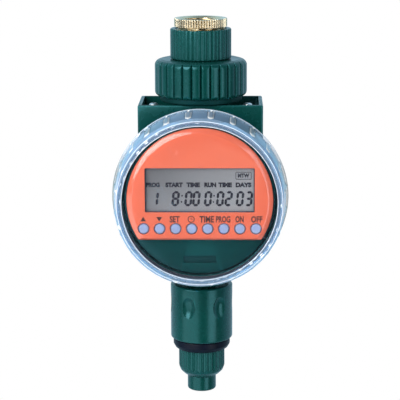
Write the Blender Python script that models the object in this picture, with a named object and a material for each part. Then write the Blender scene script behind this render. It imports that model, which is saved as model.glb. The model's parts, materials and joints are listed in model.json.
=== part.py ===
"""Drip irrigation timer that hangs from a garden tap: ball valve, gear motor, module, quick connector.

Water runs straight down. The drum, the control module and the clear screw lid share a level axis along Y,
and the front faces -Y. Lengths are in millimetres, measured from where these two axes cross. When its
object is made, a mesh is scaled to metres and moved so that the whole part stands on the origin.
"""

import math

import bmesh
import bpy
from mathutils import Vector

MM = 0.001
GAP = 0.3

# Facets of the turned pieces, by size.
LARGE = 48
MEDIUM = 24
SMALL = 16
TINY = 8

# Inlet: brass reducer, tap adapter and swivel nut.
REDUCER_TOP = 89.6
REDUCER_FLANGE_BOTTOM = 85.3
REDUCER_BOTTOM = 74.0
REDUCER_FLANGE_R = 13.85
REDUCER_SHANK_R = 12.8
REDUCER_BORE_R = 10.3
ADAPTER_TOP = 84.3
ADAPTER_BOTTOM = 61.0
ADAPTER_R = 16.0
NUT_TOP = 68.4
NUT_BOTTOM = 49.2
NUT_R = 24.2
NUT_SKIRT_R = 21.6
NUT_SKIRT_BOTTOM = 46.6
NUT_CAVITY_R = 17.1
NUT_HOLE_R = 14.9
NUT_RIBS = 30
NUT_RIB_DEPTH = 1.0
INLET_TOP = 57.7
INLET_THREAD_R = 16.5

# Box housing with the open tray on top.
BOX_X = 32.5
BOX_FRONT = -18.0
BOX_BACK = 18.0
BOX_SPLIT = 11.7
REAR_START = 12.6
BOX_TOP = 46.1
BOX_BOTTOM = -30.0
WALL = 2.0
TRAY_FLOOR_TOP = 41.0
TRAY_FLOOR_BOTTOM = 38.4
TRAY_BOSS_TOP = 44.0
TRAY_SCREW_X = 24.6
TRAY_SCREW_Y = -8.5
BACK_SCREW_X = 27.8
BACK_SCREW_ZS = (-25.6, 35.9)
PILLAR_HALF = 3.0
PILLAR_HALF_X = 3.3

# Drum and lid, turned about the Y axis.
DRUM_R = 43.4
DRUM_SHOULDER_Y = -24.9
DRUM_THREAD_R = 41.0
DRUM_FRONT_Y = -37.0
DRUM_BORE_R = 39.6
LID_BACK_Y = -25.2
LID_FRONT_Y = -46.0
LID_R = 45.6
LID_FRONT_R = 43.9
LID_BEZEL_IN_R = 39.4
THREAD_LEAD = 12.0
THREAD_STARTS = 3
DRUM_LUG_SPAN = math.radians(60)
LID_LUG_SPAN = math.radians(50)
LUG_TURN = math.radians(2)
DRUM_LUG_START = 33.4
LID_LUG_START = DRUM_LUG_START - THREAD_LEAD / THREAD_STARTS / 2

# Control module.
MODULE_R = 38.9
MODULE_FRONT_Y = -36.0
MODULE_BACK_Y = -26.1
PLATE_R = 37.5
PLATE_FRONT_Y = -40.0
PLATE_BACK_Y = -36.3
PLATE_CHORD_Z = -20.4
PLATE_BEVEL = 2.7
WINDOW_X = 28.0
WINDOW_Z = (-5.7, 17.3)
BUTTON_COUNT = 8
BUTTON_PITCH = 8.21
BUTTON_Z = -14.3
BUTTON_R = 2.55
BUTTON_FLANGE_R = 3.2
BATTERY_R = 5.25
BATTERY_HALF = 22.25
BATTERY_Y = -27.75
BATTERY_ZS = (-0.55, 10.55)

# Ball valve.
BALL_Z = 8.0
BALL_R = 9.0
BALL_BORE_R = 5.0
CHAMBER_R = 9.75
BODY_R = 13.0
STEM_R = 3.8
SEAT_FAR = 9.7
SEAT_NEAR = 5.8

# Gear train between motor and stem: three stages in three planes, each gear's axis along Y.
GEAR_MODULE = 0.9
PINION_TEETH = 8
GEAR_TEETH = 20
OUTPUT_TEETH = 24
TOOTH_FILL = 0.8
ADDENDUM = 0.75
DEDENDUM = 0.95
STEM_AXIS = Vector((0.0, BALL_Z))
OUTPUT_TO_GEAR_2 = math.radians(-60)
GEAR_2_TO_GEAR_1 = math.radians(-28)
GEAR_1_TO_MOTOR = math.radians(78)
PLANE_A = (-16.8, -15.7)
PLANE_B = (-18.2, -17.1)
PLANE_C = (-19.55, -18.5)
PIN_R = 0.8
GEAR_BORE_R = 1.15
HUB_FACETS = 12

# Outlet: tailpiece, hose-end nipple, quick connector and hose nut.
TAIL_THREAD_R = 13.2
NIPPLE_R = 15.0
NIPPLE_TOP = -35.4
NIPPLE_BOTTOM = -52.0
SLEEVE_R = 16.65
SLEEVE_TOP = -53.0
SLEEVE_BOTTOM = -83.0
DIMPLES = 6
DIMPLE_OFFSET = math.radians(36)
DIMPLE_SIZE = (6.2, 6.2, 8.6)
DIMPLE_CENTRE_R = 21.15
DIMPLE_Z = -63.6
RING_R = 15.3
RING_BOTTOM = -89.0
HOSE_NUT_R = 12.4
HOSE_NUT_TOP = -88.4
HOSE_END = -112.5

# The middle of the underside of the whole part's box: half-way from the lid's front to the nut's back.
BASE_CENTRE = Vector((0, (LID_FRONT_Y + NUT_R) / 2, HOSE_END))

FINISHES = {
    "green_plastic": ((0.012, 0.094, 0.082), 0.32, 0.0),
    "dark_green": ((0.010, 0.070, 0.062), 0.4, 0.0),
    "orange_plastic": ((0.95, 0.20, 0.10), 0.3, 0.0),
    "clear_plastic": ((0.75, 0.82, 0.90), 0.05, 0.0),
    "brass": ((0.80, 0.62, 0.28), 0.25, 1.0),
    "steel": ((0.60, 0.60, 0.62), 0.3, 1.0),
    "rubber": ((0.012, 0.014, 0.03), 0.6, 0.0),
    "silicone": ((0.45, 0.52, 0.75), 0.5, 0.0),
    "white_plastic": ((0.75, 0.75, 0.72), 0.45, 0.0),
    "lcd": ((0.30, 0.31, 0.32), 0.2, 0.0),
    "board": ((0.02, 0.16, 0.06), 0.4, 0.0),
    "battery": ((0.05, 0.05, 0.06), 0.35, 0.3),
}
CLEAR = "clear_plastic"


def clear_scene():
    for obj in list(bpy.data.objects):
        bpy.data.objects.remove(obj)


def finish_material(name):
    found = bpy.data.materials.get(name)
    if found:
        return found
    colour, roughness, metallic = FINISHES[name]
    made = bpy.data.materials.new(name)
    made.use_nodes = True
    shader = made.node_tree.nodes["Principled BSDF"]
    shader.inputs["Base Color"].default_value = (*colour, 1.0)
    shader.inputs["Roughness"].default_value = roughness
    shader.inputs["Metallic"].default_value = metallic
    if name == CLEAR:
        shader.inputs["Transmission Weight"].default_value = 1.0
    return made


def piece(name, shape, finish, origin=(0, 0, 0)):
    """An object from a bmesh in millimetres, with its own origin at the given point of the part."""
    bmesh.ops.recalc_face_normals(shape, faces=shape.faces)
    bmesh.ops.translate(shape, verts=shape.verts, vec=-Vector(origin))
    bmesh.ops.scale(shape, verts=shape.verts, vec=(MM, MM, MM))
    mesh = bpy.data.meshes.new(name)
    shape.to_mesh(mesh)
    shape.free()
    mesh.materials.append(finish_material(finish))
    obj = bpy.data.objects.new(name, mesh)
    obj.location = (Vector(origin) - BASE_CENTRE) * MM
    bpy.context.scene.collection.objects.link(obj)
    return obj


def along(axis, radial_1, radial_2, height):
    """The point at these two radial coordinates and this height along the named axis."""
    if axis == "X":
        return Vector((height, radial_1, radial_2))
    if axis == "Y":
        return Vector((radial_1, height, radial_2))
    return Vector((radial_1, radial_2, height))


def outside(radius, segments):
    """The corner radius of a polygon whose flats touch a circle of this radius."""
    return radius / math.cos(math.pi / segments)


def turned(profile, segments, axis="Z", centre=(0, 0), groove=None):
    """A closed (radius, height) profile turned about an axis. groove(index, step) lowers a radius."""
    shape = bmesh.new()
    rings = []
    for index, (radius, height) in enumerate(profile):
        if radius == 0:
            rings.append([shape.verts.new(along(axis, *centre, height))])
            continue
        ring = []
        for step in range(segments):
            angle = 2 * math.pi * step / segments
            r = radius - (groove(index, step) if groove else 0)
            across = centre[0] + r * math.cos(angle)
            up = centre[1] + r * math.sin(angle)
            ring.append(shape.verts.new(along(axis, across, up, height)))
        rings.append(ring)
    heights = [height for _, height in profile]
    for index, first in enumerate(rings):
        after_index = (index + 1) % len(rings)
        second = rings[after_index]
        if len(first) == 1 and len(second) == 1:
            continue
        if min(len(first), len(second)) == 1 and heights[index] == heights[after_index]:
            shape.faces.new(max(first, second, key=len))
            continue
        for step in range(segments):
            after = (step + 1) % segments
            corners = [first[step % len(first)], first[after % len(first)]]
            corners += [second[after % len(second)], second[step % len(second)]]
            shape.faces.new(list(dict.fromkeys(corners)))
    loose = [vert for vert in shape.verts if not vert.link_faces]
    bmesh.ops.delete(shape, geom=loose, context="VERTS")
    return shape


def rod(radius, low, high, axis="Z", centre=(0, 0), segments=TINY):
    return turned([(0, low), (radius, low), (radius, high), (0, high)], segments, axis, centre)


def block(low, high):
    shape = bmesh.new()
    bmesh.ops.create_cube(shape, size=1)
    sides = Vector(high) - Vector(low)
    bmesh.ops.scale(shape, verts=shape.verts, vec=sides)
    bmesh.ops.translate(shape, verts=shape.verts, vec=(Vector(high) + Vector(low)) / 2)
    return shape


def loft(outlines):
    """A solid through (outline, y) layers, where every outline is a list of (x, z) with the same length."""
    shape = bmesh.new()
    rings = [[shape.verts.new((x, y, z)) for x, z in outline] for outline, y in outlines]
    for first, second in zip(rings, rings[1:]):
        for step in range(len(first)):
            after = (step + 1) % len(first)
            shape.faces.new((first[step], first[after], second[after], second[step]))
    shape.faces.new(rings[0])
    shape.faces.new(rings[-1])
    return shape


def combine(target, shape, operation):
    """Joins a bmesh to the target, or cuts it from the target, and keeps the result as the target's mesh."""
    tool = piece("tool", shape, target.data.materials[0].name)
    modifier = target.modifiers.new(operation.lower(), "BOOLEAN")
    modifier.operation = operation
    modifier.solver = "EXACT"
    modifier.object = tool
    bpy.context.view_layer.update()
    graph = bpy.context.evaluated_depsgraph_get()
    result = bpy.data.meshes.new_from_object(target.evaluated_get(graph))
    target.modifiers.clear()
    target.data = result
    bpy.data.objects.remove(tool)


def join(target, *shapes):
    for shape in shapes:
        combine(target, shape, "UNION")


def cut(target, *shapes):
    for shape in shapes:
        combine(target, shape, "DIFFERENCE")


def gear_outline(teeth, phase, centre):
    """Trapezoid teeth with play: one tooth is centred on the phase angle."""
    pitch_r = GEAR_MODULE * teeth / 2
    half = math.pi / (2 * teeth) * TOOTH_FILL
    slope = math.tan(math.radians(21.8)) / pitch_r
    root = (pitch_r - DEDENDUM, half + DEDENDUM * slope)
    tip = (pitch_r + ADDENDUM, half - ADDENDUM * slope)
    outline = []
    for tooth in range(teeth):
        middle = phase + 2 * math.pi * tooth / teeth
        for (radius, width), side in ((root, -1), (tip, -1), (tip, 1), (root, 1)):
            angle = middle + side * width
            point = (centre[0] + radius * math.cos(angle), centre[1] + radius * math.sin(angle))
            outline.append(point)
    return outline


def gear(teeth, phase, centre, plane):
    outline = gear_outline(teeth, phase, centre)
    return loft([(outline, plane[0]), (outline, plane[1])])


def helical_lug(inner, outer, height, start, span, turn):
    """One lug of the lid's quick thread. Its height along -Y grows with the angle, by the thread's lead."""
    steps = 6
    shape = bmesh.new()
    rings = []
    for step in range(steps + 1):
        swept = span * step / steps
        middle = start + THREAD_LEAD * swept / (2 * math.pi)
        ring = []
        for radius, side in ((inner, -1), (outer, -1), (outer, 1), (inner, 1)):
            x = radius * math.cos(turn + swept)
            z = radius * math.sin(turn + swept)
            ring.append(shape.verts.new((x, -(middle + side * height / 2), z)))
        rings.append(ring)
    for first, second in zip(rings, rings[1:]):
        for corner in range(4):
            after = (corner + 1) % 4
            shape.faces.new((first[corner], first[after], second[after], second[corner]))
    shape.faces.new(rings[0])
    shape.faces.new(rings[-1])
    bmesh.ops.triangulate(shape, faces=shape.faces)
    return shape


def step_from(point, angle, distance):
    return point + distance * Vector((math.cos(angle), math.sin(angle)))


def screw(name, place, axis, direction, shank, head, head_r, shank_r=1.0):
    """A cheese-head screw. shank is its length below the head, head is the head's height."""
    heights = [-shank * direction, -shank * direction, 0, 0, head * direction, head * direction]
    radii = [0, shank_r, shank_r, head_r, head_r, 0]
    index = "XYZ".index(axis)
    centre = [place[i] for i in range(3) if i != index]
    profile = [(r, place[index] + h) for r, h in zip(radii, heights)]
    return piece(name, turned(profile, TINY, axis, centre), "steel", place)


def build_inlet():
    profile = [
        (REDUCER_BORE_R, REDUCER_TOP),
        (REDUCER_FLANGE_R, REDUCER_TOP),
        (REDUCER_FLANGE_R, REDUCER_FLANGE_BOTTOM),
        (REDUCER_SHANK_R, REDUCER_FLANGE_BOTTOM),
        (REDUCER_SHANK_R, REDUCER_BOTTOM),
        (8.4, REDUCER_BOTTOM),
        (8.4, REDUCER_BOTTOM + 3),
        (REDUCER_BORE_R, REDUCER_BOTTOM + 3),
    ]
    piece("brass_reducer", turned(profile, MEDIUM), "brass")
    profile = [
        (outside(13.15, MEDIUM), ADAPTER_TOP),
        (ADAPTER_R - 0.6, ADAPTER_TOP),
        (ADAPTER_R, ADAPTER_TOP - 0.6),
        (ADAPTER_R, NUT_TOP + 0.4),
        (14.3, NUT_TOP + 0.4),
        (14.3, 63.3),
        (16.2, 63.3),
        (16.2, ADAPTER_BOTTOM),
        (7.6, ADAPTER_BOTTOM),
        (7.6, 71.0),
        (outside(13.15, MEDIUM), 71.0),
    ]
    piece("tap_adapter", turned(profile, MEDIUM), "green_plastic")
    segments = 2 * NUT_RIBS
    profile = [
        (21.8, NUT_TOP),
        (NUT_R, NUT_TOP - 2.4),
        (NUT_R, NUT_BOTTOM + 2.0),
        (NUT_SKIRT_R, NUT_BOTTOM),
        (NUT_SKIRT_R, NUT_SKIRT_BOTTOM),
        (NUT_CAVITY_R, NUT_SKIRT_BOTTOM),
        (NUT_CAVITY_R, 64.0),
        (NUT_HOLE_R, 64.0),
        (NUT_HOLE_R, NUT_TOP),
    ]

    def rib(index, step):
        return NUT_RIB_DEPTH if index < 3 and step % 2 else 0

    piece("swivel_nut", turned(profile, segments, groove=rib), "green_plastic")
    washer = [(15.6, 60.7), (15.6, 58.1), (9.7, 58.1), (9.7, 60.7)]
    piece("inlet_washer", turned(washer, MEDIUM), "rubber")
    cup = [(9.2, 59.4), (9.2, 58.1), (7.3, 58.1), (6.6, 50), (0, 50), (0, 50.8), (5.9, 50.8), (6.4, 59.4)]
    inlet_filter = piece("inlet_filter", turned(cup, SMALL), "white_plastic")
    cut(inlet_filter, block((-8, -1.5, 51.6), (8, 1.5, 56.4)), block((-1.5, -8, 51.6), (1.5, 8, 56.4)))


def build_valve():
    centre = (0, BALL_Z)
    profile = [
        (outside(8, MEDIUM), INLET_TOP),
        (INLET_THREAD_R, INLET_TOP),
        (INLET_THREAD_R, 47.6),
        (15, 47.6),
        (15, 33.5),
        (BODY_R, 31),
        (BODY_R, -9),
        (outside(CHAMBER_R, MEDIUM), -9),
        (outside(CHAMBER_R, MEDIUM), BALL_Z + CHAMBER_R + 0.2),
        (6, BALL_Z + CHAMBER_R + 0.2),
        (6, 22),
        (outside(8, MEDIUM), 26),
    ]
    body = piece("valve_body", turned(profile, MEDIUM), "dark_green")
    join(body, block((-29.5, -13.2, 33), (29.5, -4, 38)), rod(6.2, -14.1, -9.5, "Y", centre, SMALL))
    cut(body, rod(outside(4.35, SMALL), -15, -8, "Y", centre, SMALL), rod(7.9, 30, 40, segments=MEDIUM))
    for side in (-1, 1):
        cut(body, rod(1.4, 34, 39, centre=(side * TRAY_SCREW_X, TRAY_SCREW_Y)))
    profile = [
        (6, -2),
        (9.3, -2),
        (9.3, BOX_BOTTOM - 0.4),
        (14.2, BOX_BOTTOM - 0.4),
        (14.2, -33.4),
        (TAIL_THREAD_R, -33.4),
        (TAIL_THREAD_R, -46.5),
        (6, -46.5),
    ]
    piece("valve_tailpiece", turned(profile, MEDIUM), "dark_green")
    arc = [math.pi * step / 8 for step in range(9)]
    ball = [(BALL_R * math.sin(a) if 0 < a < math.pi else 0, -BALL_R * math.cos(a)) for a in arc]
    ball_piece = piece("valve_ball", turned(ball, SMALL, "Y", centre), "white_plastic", (0, 0, BALL_Z))
    slot = block((-3.5, -10, BALL_Z - 1.35), (3.5, -6.9, BALL_Z + 1.35))
    bore = rod(BALL_BORE_R, -12, 12, "X", (0, BALL_Z), SMALL)
    cut(ball_piece, bore, slot)
    for name, side in (("seat_upper", 1), ("seat_lower", -1)):
        far, near = BALL_Z + side * SEAT_FAR, BALL_Z + side * SEAT_NEAR
        seat = [(5.2, far), (9.3, far), (9.3, near), (7.4, near), (5.2, near + side * 2)]
        piece(name, turned(seat, SMALL), "white_plastic")
    profile = [
        (0, -9.9),
        (STEM_R, -9.9),
        (STEM_R, -12.3),
        (2.9, -12.3),
        (2.9, -13.7),
        (STEM_R, -13.7),
        (STEM_R, -15.2),
        (2.4, -15.2),
        (2.4, -19.7),
        (0, -19.7),
    ]
    stem = piece("valve_stem", turned(profile, SMALL, "Y", centre), "white_plastic", (0, 0, BALL_Z))
    join(stem, block((-3.1, -10.3, BALL_Z - 1), (3.1, -7.3, BALL_Z + 1)))
    ring = [(3.2, -12.55), (4.1, -12.55), (4.1, -13.45), (3.2, -13.45)]
    piece("stem_o_ring", turned(ring, SMALL, "Y", centre), "rubber", (0, 0, BALL_Z))


def build_gearbox():
    output = STEM_AXIS
    gear_2 = step_from(output, OUTPUT_TO_GEAR_2, GEAR_MODULE * (PINION_TEETH + OUTPUT_TEETH) / 2)
    gear_1 = step_from(gear_2, GEAR_2_TO_GEAR_1, GEAR_MODULE * (PINION_TEETH + GEAR_TEETH) / 2)
    motor = step_from(gear_1, GEAR_1_TO_MOTOR, GEAR_MODULE * (PINION_TEETH + GEAR_TEETH) / 2)

    base = piece("gearbox_base", block((-18, -15.4, -22.3), (30, -14.4, 25)), "white_plastic")
    cut(base, rod(4.7, -16, -14, "Y", output, SMALL), rod(3.3, -16, -14, "Y", motor, SMALL))
    for place in (gear_1, gear_2):
        join(base, rod(PIN_R, -19.6, -14.8, "Y", place))
    for z in (-12, 14):
        cut(base, rod(1.3, -16, -14, "Y", (-15.9, z)))
        screw(f"gearbox_screw_{1 if z < 0 else 2}", (-15.9, -14.1, z), "Y", 1, 4.2, 1.2, 1.9)
    cover = piece("gearbox_cover", block((-13.4, -20.8, -22), (30, -15.7, 21.3)), "white_plastic")
    cut(cover, block((-12.5, -19.9, -21.1), (29.1, -15, 20.4)))

    case = [
        (1.4, -15.2),
        (2.9, -15.2),
        (2.9, -13.8),
        (7.3, -13.8),
        (7.3, 6),
        (0, 6),
        (0, -5),
        (1.4, -5),
    ]
    piece("dc_motor", turned(case, SMALL, "Y", motor), "steel", (motor.x, 0, motor.y))
    pinion_phase = GEAR_1_TO_MOTOR + math.pi
    pinion = gear(PINION_TEETH, pinion_phase, motor, PLANE_A)
    shaft = piece("motor_pinion", pinion, "brass", (motor.x, 0, motor.y))
    join(shaft, rod(1.0, -16.9, -6, "Y", motor))

    half_tooth = math.pi / GEAR_TEETH
    stages = (
        ("gear_1", gear_1, GEAR_1_TO_MOTOR + half_tooth, PLANE_A, GEAR_2_TO_GEAR_1 + math.pi, PLANE_B),
        ("gear_2", gear_2, GEAR_2_TO_GEAR_1 + half_tooth, PLANE_B, OUTPUT_TO_GEAR_2 + math.pi, PLANE_C),
    )
    for name, place, big_phase, big_plane, small_phase, small_plane in stages:
        big = gear(GEAR_TEETH, big_phase, place, big_plane)
        wheel = piece(name, big, "white_plastic", (place.x, 0, place.y))
        join(wheel, gear(PINION_TEETH, small_phase, place, (small_plane[0], big_plane[0] + 0.4)))
        cut(wheel, rod(GEAR_BORE_R, -22, -14, "Y", place))
    phase = OUTPUT_TO_GEAR_2 + math.pi / OUTPUT_TEETH
    wheel = gear(OUTPUT_TEETH, phase, output, PLANE_C)
    out = piece("output_gear", wheel, "white_plastic", (0, 0, BALL_Z))
    join(out, rod(4.1, -19, -15.7, "Y", output, HUB_FACETS))
    join(out, block((-5.6, -16.9, BALL_Z - 1.8), (-3.2, -16, BALL_Z + 1.8)))
    cut(out, rod(outside(2.7, HUB_FACETS), -22, -14, "Y", output, HUB_FACETS))
    piece("limit_switch", block((-12, -18, 3), (-6, -15.7, 13)), "rubber")


def build_housing():
    drum = [
        (0, BOX_FRONT + 0.5),
        (DRUM_R, BOX_FRONT + 0.5),
        (DRUM_R, DRUM_SHOULDER_Y),
        (DRUM_THREAD_R, DRUM_SHOULDER_Y),
        (DRUM_THREAD_R, DRUM_FRONT_Y),
        (outside(DRUM_BORE_R, LARGE), DRUM_FRONT_Y),
        (outside(DRUM_BORE_R, LARGE), -20.5),
        (0, -20.5),
    ]
    inner_x = BOX_X - WALL
    tray_x = BOX_X - 1.9
    box = block((-BOX_X, BOX_FRONT, BOX_BOTTOM), (BOX_X, BOX_SPLIT, BOX_TOP))
    front = piece("front_housing", box, "green_plastic")
    cut(front, block((-inner_x, BOX_FRONT + WALL, BOX_BOTTOM + WALL), (inner_x, 20, TRAY_FLOOR_BOTTOM)))
    cut(front, block((-tray_x, BOX_FRONT + 1.9, TRAY_FLOOR_TOP), (tray_x, 20, 60)))
    join(front, turned(drum, LARGE, "Y"))
    cut(front, block((-13.8, -22, -22.4), (30.4, -15, 21.7)))
    for side in (-1, 1):
        x = side * BACK_SCREW_X
        for z in BACK_SCREW_ZS:
            start = -3.5 if z > 0 else BOX_FRONT + 1
            low = (x - PILLAR_HALF_X, start, z - PILLAR_HALF)
            join(front, block(low, (x + PILLAR_HALF_X, BOX_SPLIT - GAP, z + PILLAR_HALF)))
            cut(front, rod(1.3, 3, 13, "Y", (x, z)))
        place = (side * TRAY_SCREW_X, TRAY_SCREW_Y)
        join(front, rod(3.2, 40, TRAY_BOSS_TOP, centre=place, segments=SMALL))
        cut(front, rod(1.4, 37, 45, centre=place))
    for z in (-12, 14):
        cut(front, rod(1.3, -19, -15, "Y", (-15.9, z)))
    cut(front, rod(outside(15.5, MEDIUM), 37, 42, segments=MEDIUM))
    cut(front, rod(outside(10.4, MEDIUM), -31, -27, segments=MEDIUM))
    for start in range(THREAD_STARTS):
        turn = LUG_TURN + 2 * math.pi * start / THREAD_STARTS
        join(front, helical_lug(40.4, 42.4, 1.6, DRUM_LUG_START, DRUM_LUG_SPAN, turn))

    shell = block((-BOX_X, REAR_START, BOX_BOTTOM), (BOX_X, BOX_BACK, BOX_TOP))
    rear = piece("rear_housing", shell, "green_plastic")
    cut(rear, block((-inner_x, 5, BOX_BOTTOM + WALL), (inner_x, BOX_BACK - WALL, TRAY_FLOOR_BOTTOM)))
    cut(rear, block((-tray_x, 5, TRAY_FLOOR_TOP), (tray_x, BOX_BACK - 1.9, 60)))
    cut(rear, rod(outside(15.5, MEDIUM), 37, 42, segments=MEDIUM))
    number = 0
    for side in (-1, 1):
        x = side * BACK_SCREW_X
        for z in BACK_SCREW_ZS:
            number += 1
            low = (x - PILLAR_HALF_X, REAR_START + GAP, z - PILLAR_HALF)
            join(rear, block(low, (x + PILLAR_HALF_X, BOX_BACK - 1, z + PILLAR_HALF)))
            cut(rear, rod(1.3, 10, 20, "Y", (x, z)), rod(2.9, 15.7, 20, "Y", (x, z), SMALL))
            screw(f"back_screw_{number}", (x, 16, z), "Y", 1, 11, 1.4, 2.4)
    ring = piece("housing_gasket", block((-31.8, 11.85, -29.3), (31.8, 12.45, 40.4)), "rubber")
    cut(ring, block((-31.2, 5, -28.7), (31.2, 20, 38.9)))
    cut(ring, rod(outside(15.6, MEDIUM), 37, 42, segments=MEDIUM))
    for number, side in ((1, -1), (2, 1)):
        place = (side * TRAY_SCREW_X, TRAY_SCREW_Y, TRAY_BOSS_TOP + GAP)
        screw(f"valve_screw_{number}", place, "Z", 1, 8.2, 1.8, 2.4)


def plate_outline(radius, chord):
    """A disc cut off along its lower chord, from right to left over the top."""
    low = math.asin(-chord / radius)
    steps = 28
    angles = [-low + (math.pi + 2 * low) * step / steps for step in range(steps + 1)]
    return [(radius * math.cos(a), radius * math.sin(a)) for a in angles]


def build_module():
    profile = [
        (0, MODULE_FRONT_Y),
        (MODULE_R - 0.6, MODULE_FRONT_Y),
        (MODULE_R, MODULE_FRONT_Y + 0.6),
        (MODULE_R, -30.1),
        (37.7, -30.1),
        (37.7, -28.3),
        (MODULE_R, -28.3),
        (MODULE_R, MODULE_BACK_Y),
        (36.4, MODULE_BACK_Y),
        (36.4, MODULE_FRONT_Y + WALL),
        (0, MODULE_FRONT_Y + WALL),
    ]
    face = piece("module_face", turned(profile, LARGE, "Y"), "green_plastic")
    for z in (-27.5, 27.5):
        join(face, rod(2.5, -35, -26.3, "Y", (0, z), SMALL))
        cut(face, rod(1.3, -32, -25, "Y", (0, z)))
        name = f"module_screw_{1 if z > 0 else 2}"
        screw(name, (0, -24, z), "Y", 1, 7.5, 1.2, 2.0)
    cut(face, block((-31.8, -37, -18.3), (31.8, -33, 18.6)))
    cut(face, block((-8.5, -37, -33.2), (8.5, -34.8, -29.4)))

    outer = plate_outline(PLATE_R, PLATE_CHORD_Z)
    inner = plate_outline(PLATE_R - PLATE_BEVEL, PLATE_CHORD_Z + 1)
    layers = [(outer, PLATE_BACK_Y), (outer, PLATE_FRONT_Y + 1.6), (inner, PLATE_FRONT_Y)]
    plate = piece("faceplate", loft(layers), "orange_plastic")
    cut(plate, block((-WINDOW_X, -41, WINDOW_Z[0]), (WINDOW_X, -36, WINDOW_Z[1])))
    cut(plate, block((-29.6, -38, -7.2), (29.6, -36, 18.8)))
    cut(plate, block((-32.1, -38.4, -17.7), (32.1, -36, -10.9)))
    board = piece("circuit_board", block((-31.4, -35.4, -17.9), (31.4, -34.4, 17.6)), "board")
    for number in range(BUTTON_COUNT):
        x = (number - (BUTTON_COUNT - 1) / 2) * BUTTON_PITCH
        cut(plate, rod(2.95, -41, -37, "Y", (x, BUTTON_Z), 12))
        join(board, block((x - 2.2, -36.4, BUTTON_Z - 2.2), (x + 2.2, -35.1, BUTTON_Z + 2.2)))
        cap = [
            (0, -39.95),
            (2.1, -39.95),
            (BUTTON_R, -39.5),
            (BUTTON_R, -38.1),
            (BUTTON_FLANGE_R, -38.1),
            (BUTTON_FLANGE_R, -37.4),
            (0, -37.4),
        ]
        place = (x, BUTTON_Z)
        piece(f"button_{number + 1}", turned(cap, 12, "Y", place), "silicone", (x, 0, BUTTON_Z))
    low, high = WINDOW_Z
    window = block((0.3 - WINDOW_X, -39.4, low + 0.3), (WINDOW_X - 0.3, -38.3, high - 0.3))
    piece("display_window", window, CLEAR)
    piece("lcd_glass", block((-29.2, -37.7, -6.8), (29.2, -36.1, 18.4)), "lcd")

    disc = [(0, -25.8), (38.4, -25.8), (38.4, -24.3), (0, -24.3)]
    back = piece("module_back", turned(disc, LARGE - 4, "Y"), "dark_green")
    join(back, block((-26.5, -33.8, -9.2), (26.5, -22.4, 18.3)))
    cut(back, block((-25.3, -33.2, -7.5), (25.3, -21, 17.3)))
    for z in (-27.5, 27.5):
        cut(back, rod(1.3, -27, -23, "Y", (0, z)))
    piece("battery_door", block((-26.5, -22.1, -9.2), (26.5, -21.1, 18.3)), "dark_green")
    for number, z in enumerate(BATTERY_ZS, 1):
        side = 1 if number == 1 else -1
        nub = BATTERY_HALF - 0.95
        cell = [(0, -BATTERY_HALF), (BATTERY_R, -BATTERY_HALF), (BATTERY_R, nub), (1.9, nub)]
        cell += [(1.9, BATTERY_HALF), (0, BATTERY_HALF)]
        cell = [(r, side * x) for r, x in cell]
        piece(f"battery_{number}", turned(cell, SMALL, "X", (BATTERY_Y, z)), "battery")
    ring = [(38.0, -29.8), (39.2, -29.8), (39.2, -28.6), (38.0, -28.6)]
    piece("module_seal", turned(ring, LARGE, "Y"), "rubber")


def build_lid():
    outer = [
        (LID_R, LID_BACK_Y),
        (LID_R, LID_BACK_Y - 1.3),
        (LID_R - 0.7, LID_BACK_Y - 1.3),
        (LID_FRONT_R, LID_FRONT_Y + 1.6),
        (LID_FRONT_R - 1.3, LID_FRONT_Y),
        (LID_BEZEL_IN_R, LID_FRONT_Y),
        (LID_BEZEL_IN_R - 0.7, LID_FRONT_Y + 1),
        (0, LID_FRONT_Y + 1),
    ]
    inner = [(0, -43.4), (41.4, -43.4), (outside(42.8, LARGE), -38.6), (outside(43.3, LARGE), LID_BACK_Y)]
    lid = piece("lid", turned(outer + inner, LARGE, "Y"), CLEAR)
    for start in range(THREAD_STARTS):
        turn = LUG_TURN + 2 * math.pi * start / THREAD_STARTS
        join(lid, helical_lug(41.5, 43.6, 1.4, LID_LUG_START, LID_LUG_SPAN, turn))
    ring = [(39.9, -37.35), (42.3, -37.35), (42.3, -38.6), (39.9, -38.6)]
    piece("lid_seal", turned(ring, LARGE, "Y"), "rubber")


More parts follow.
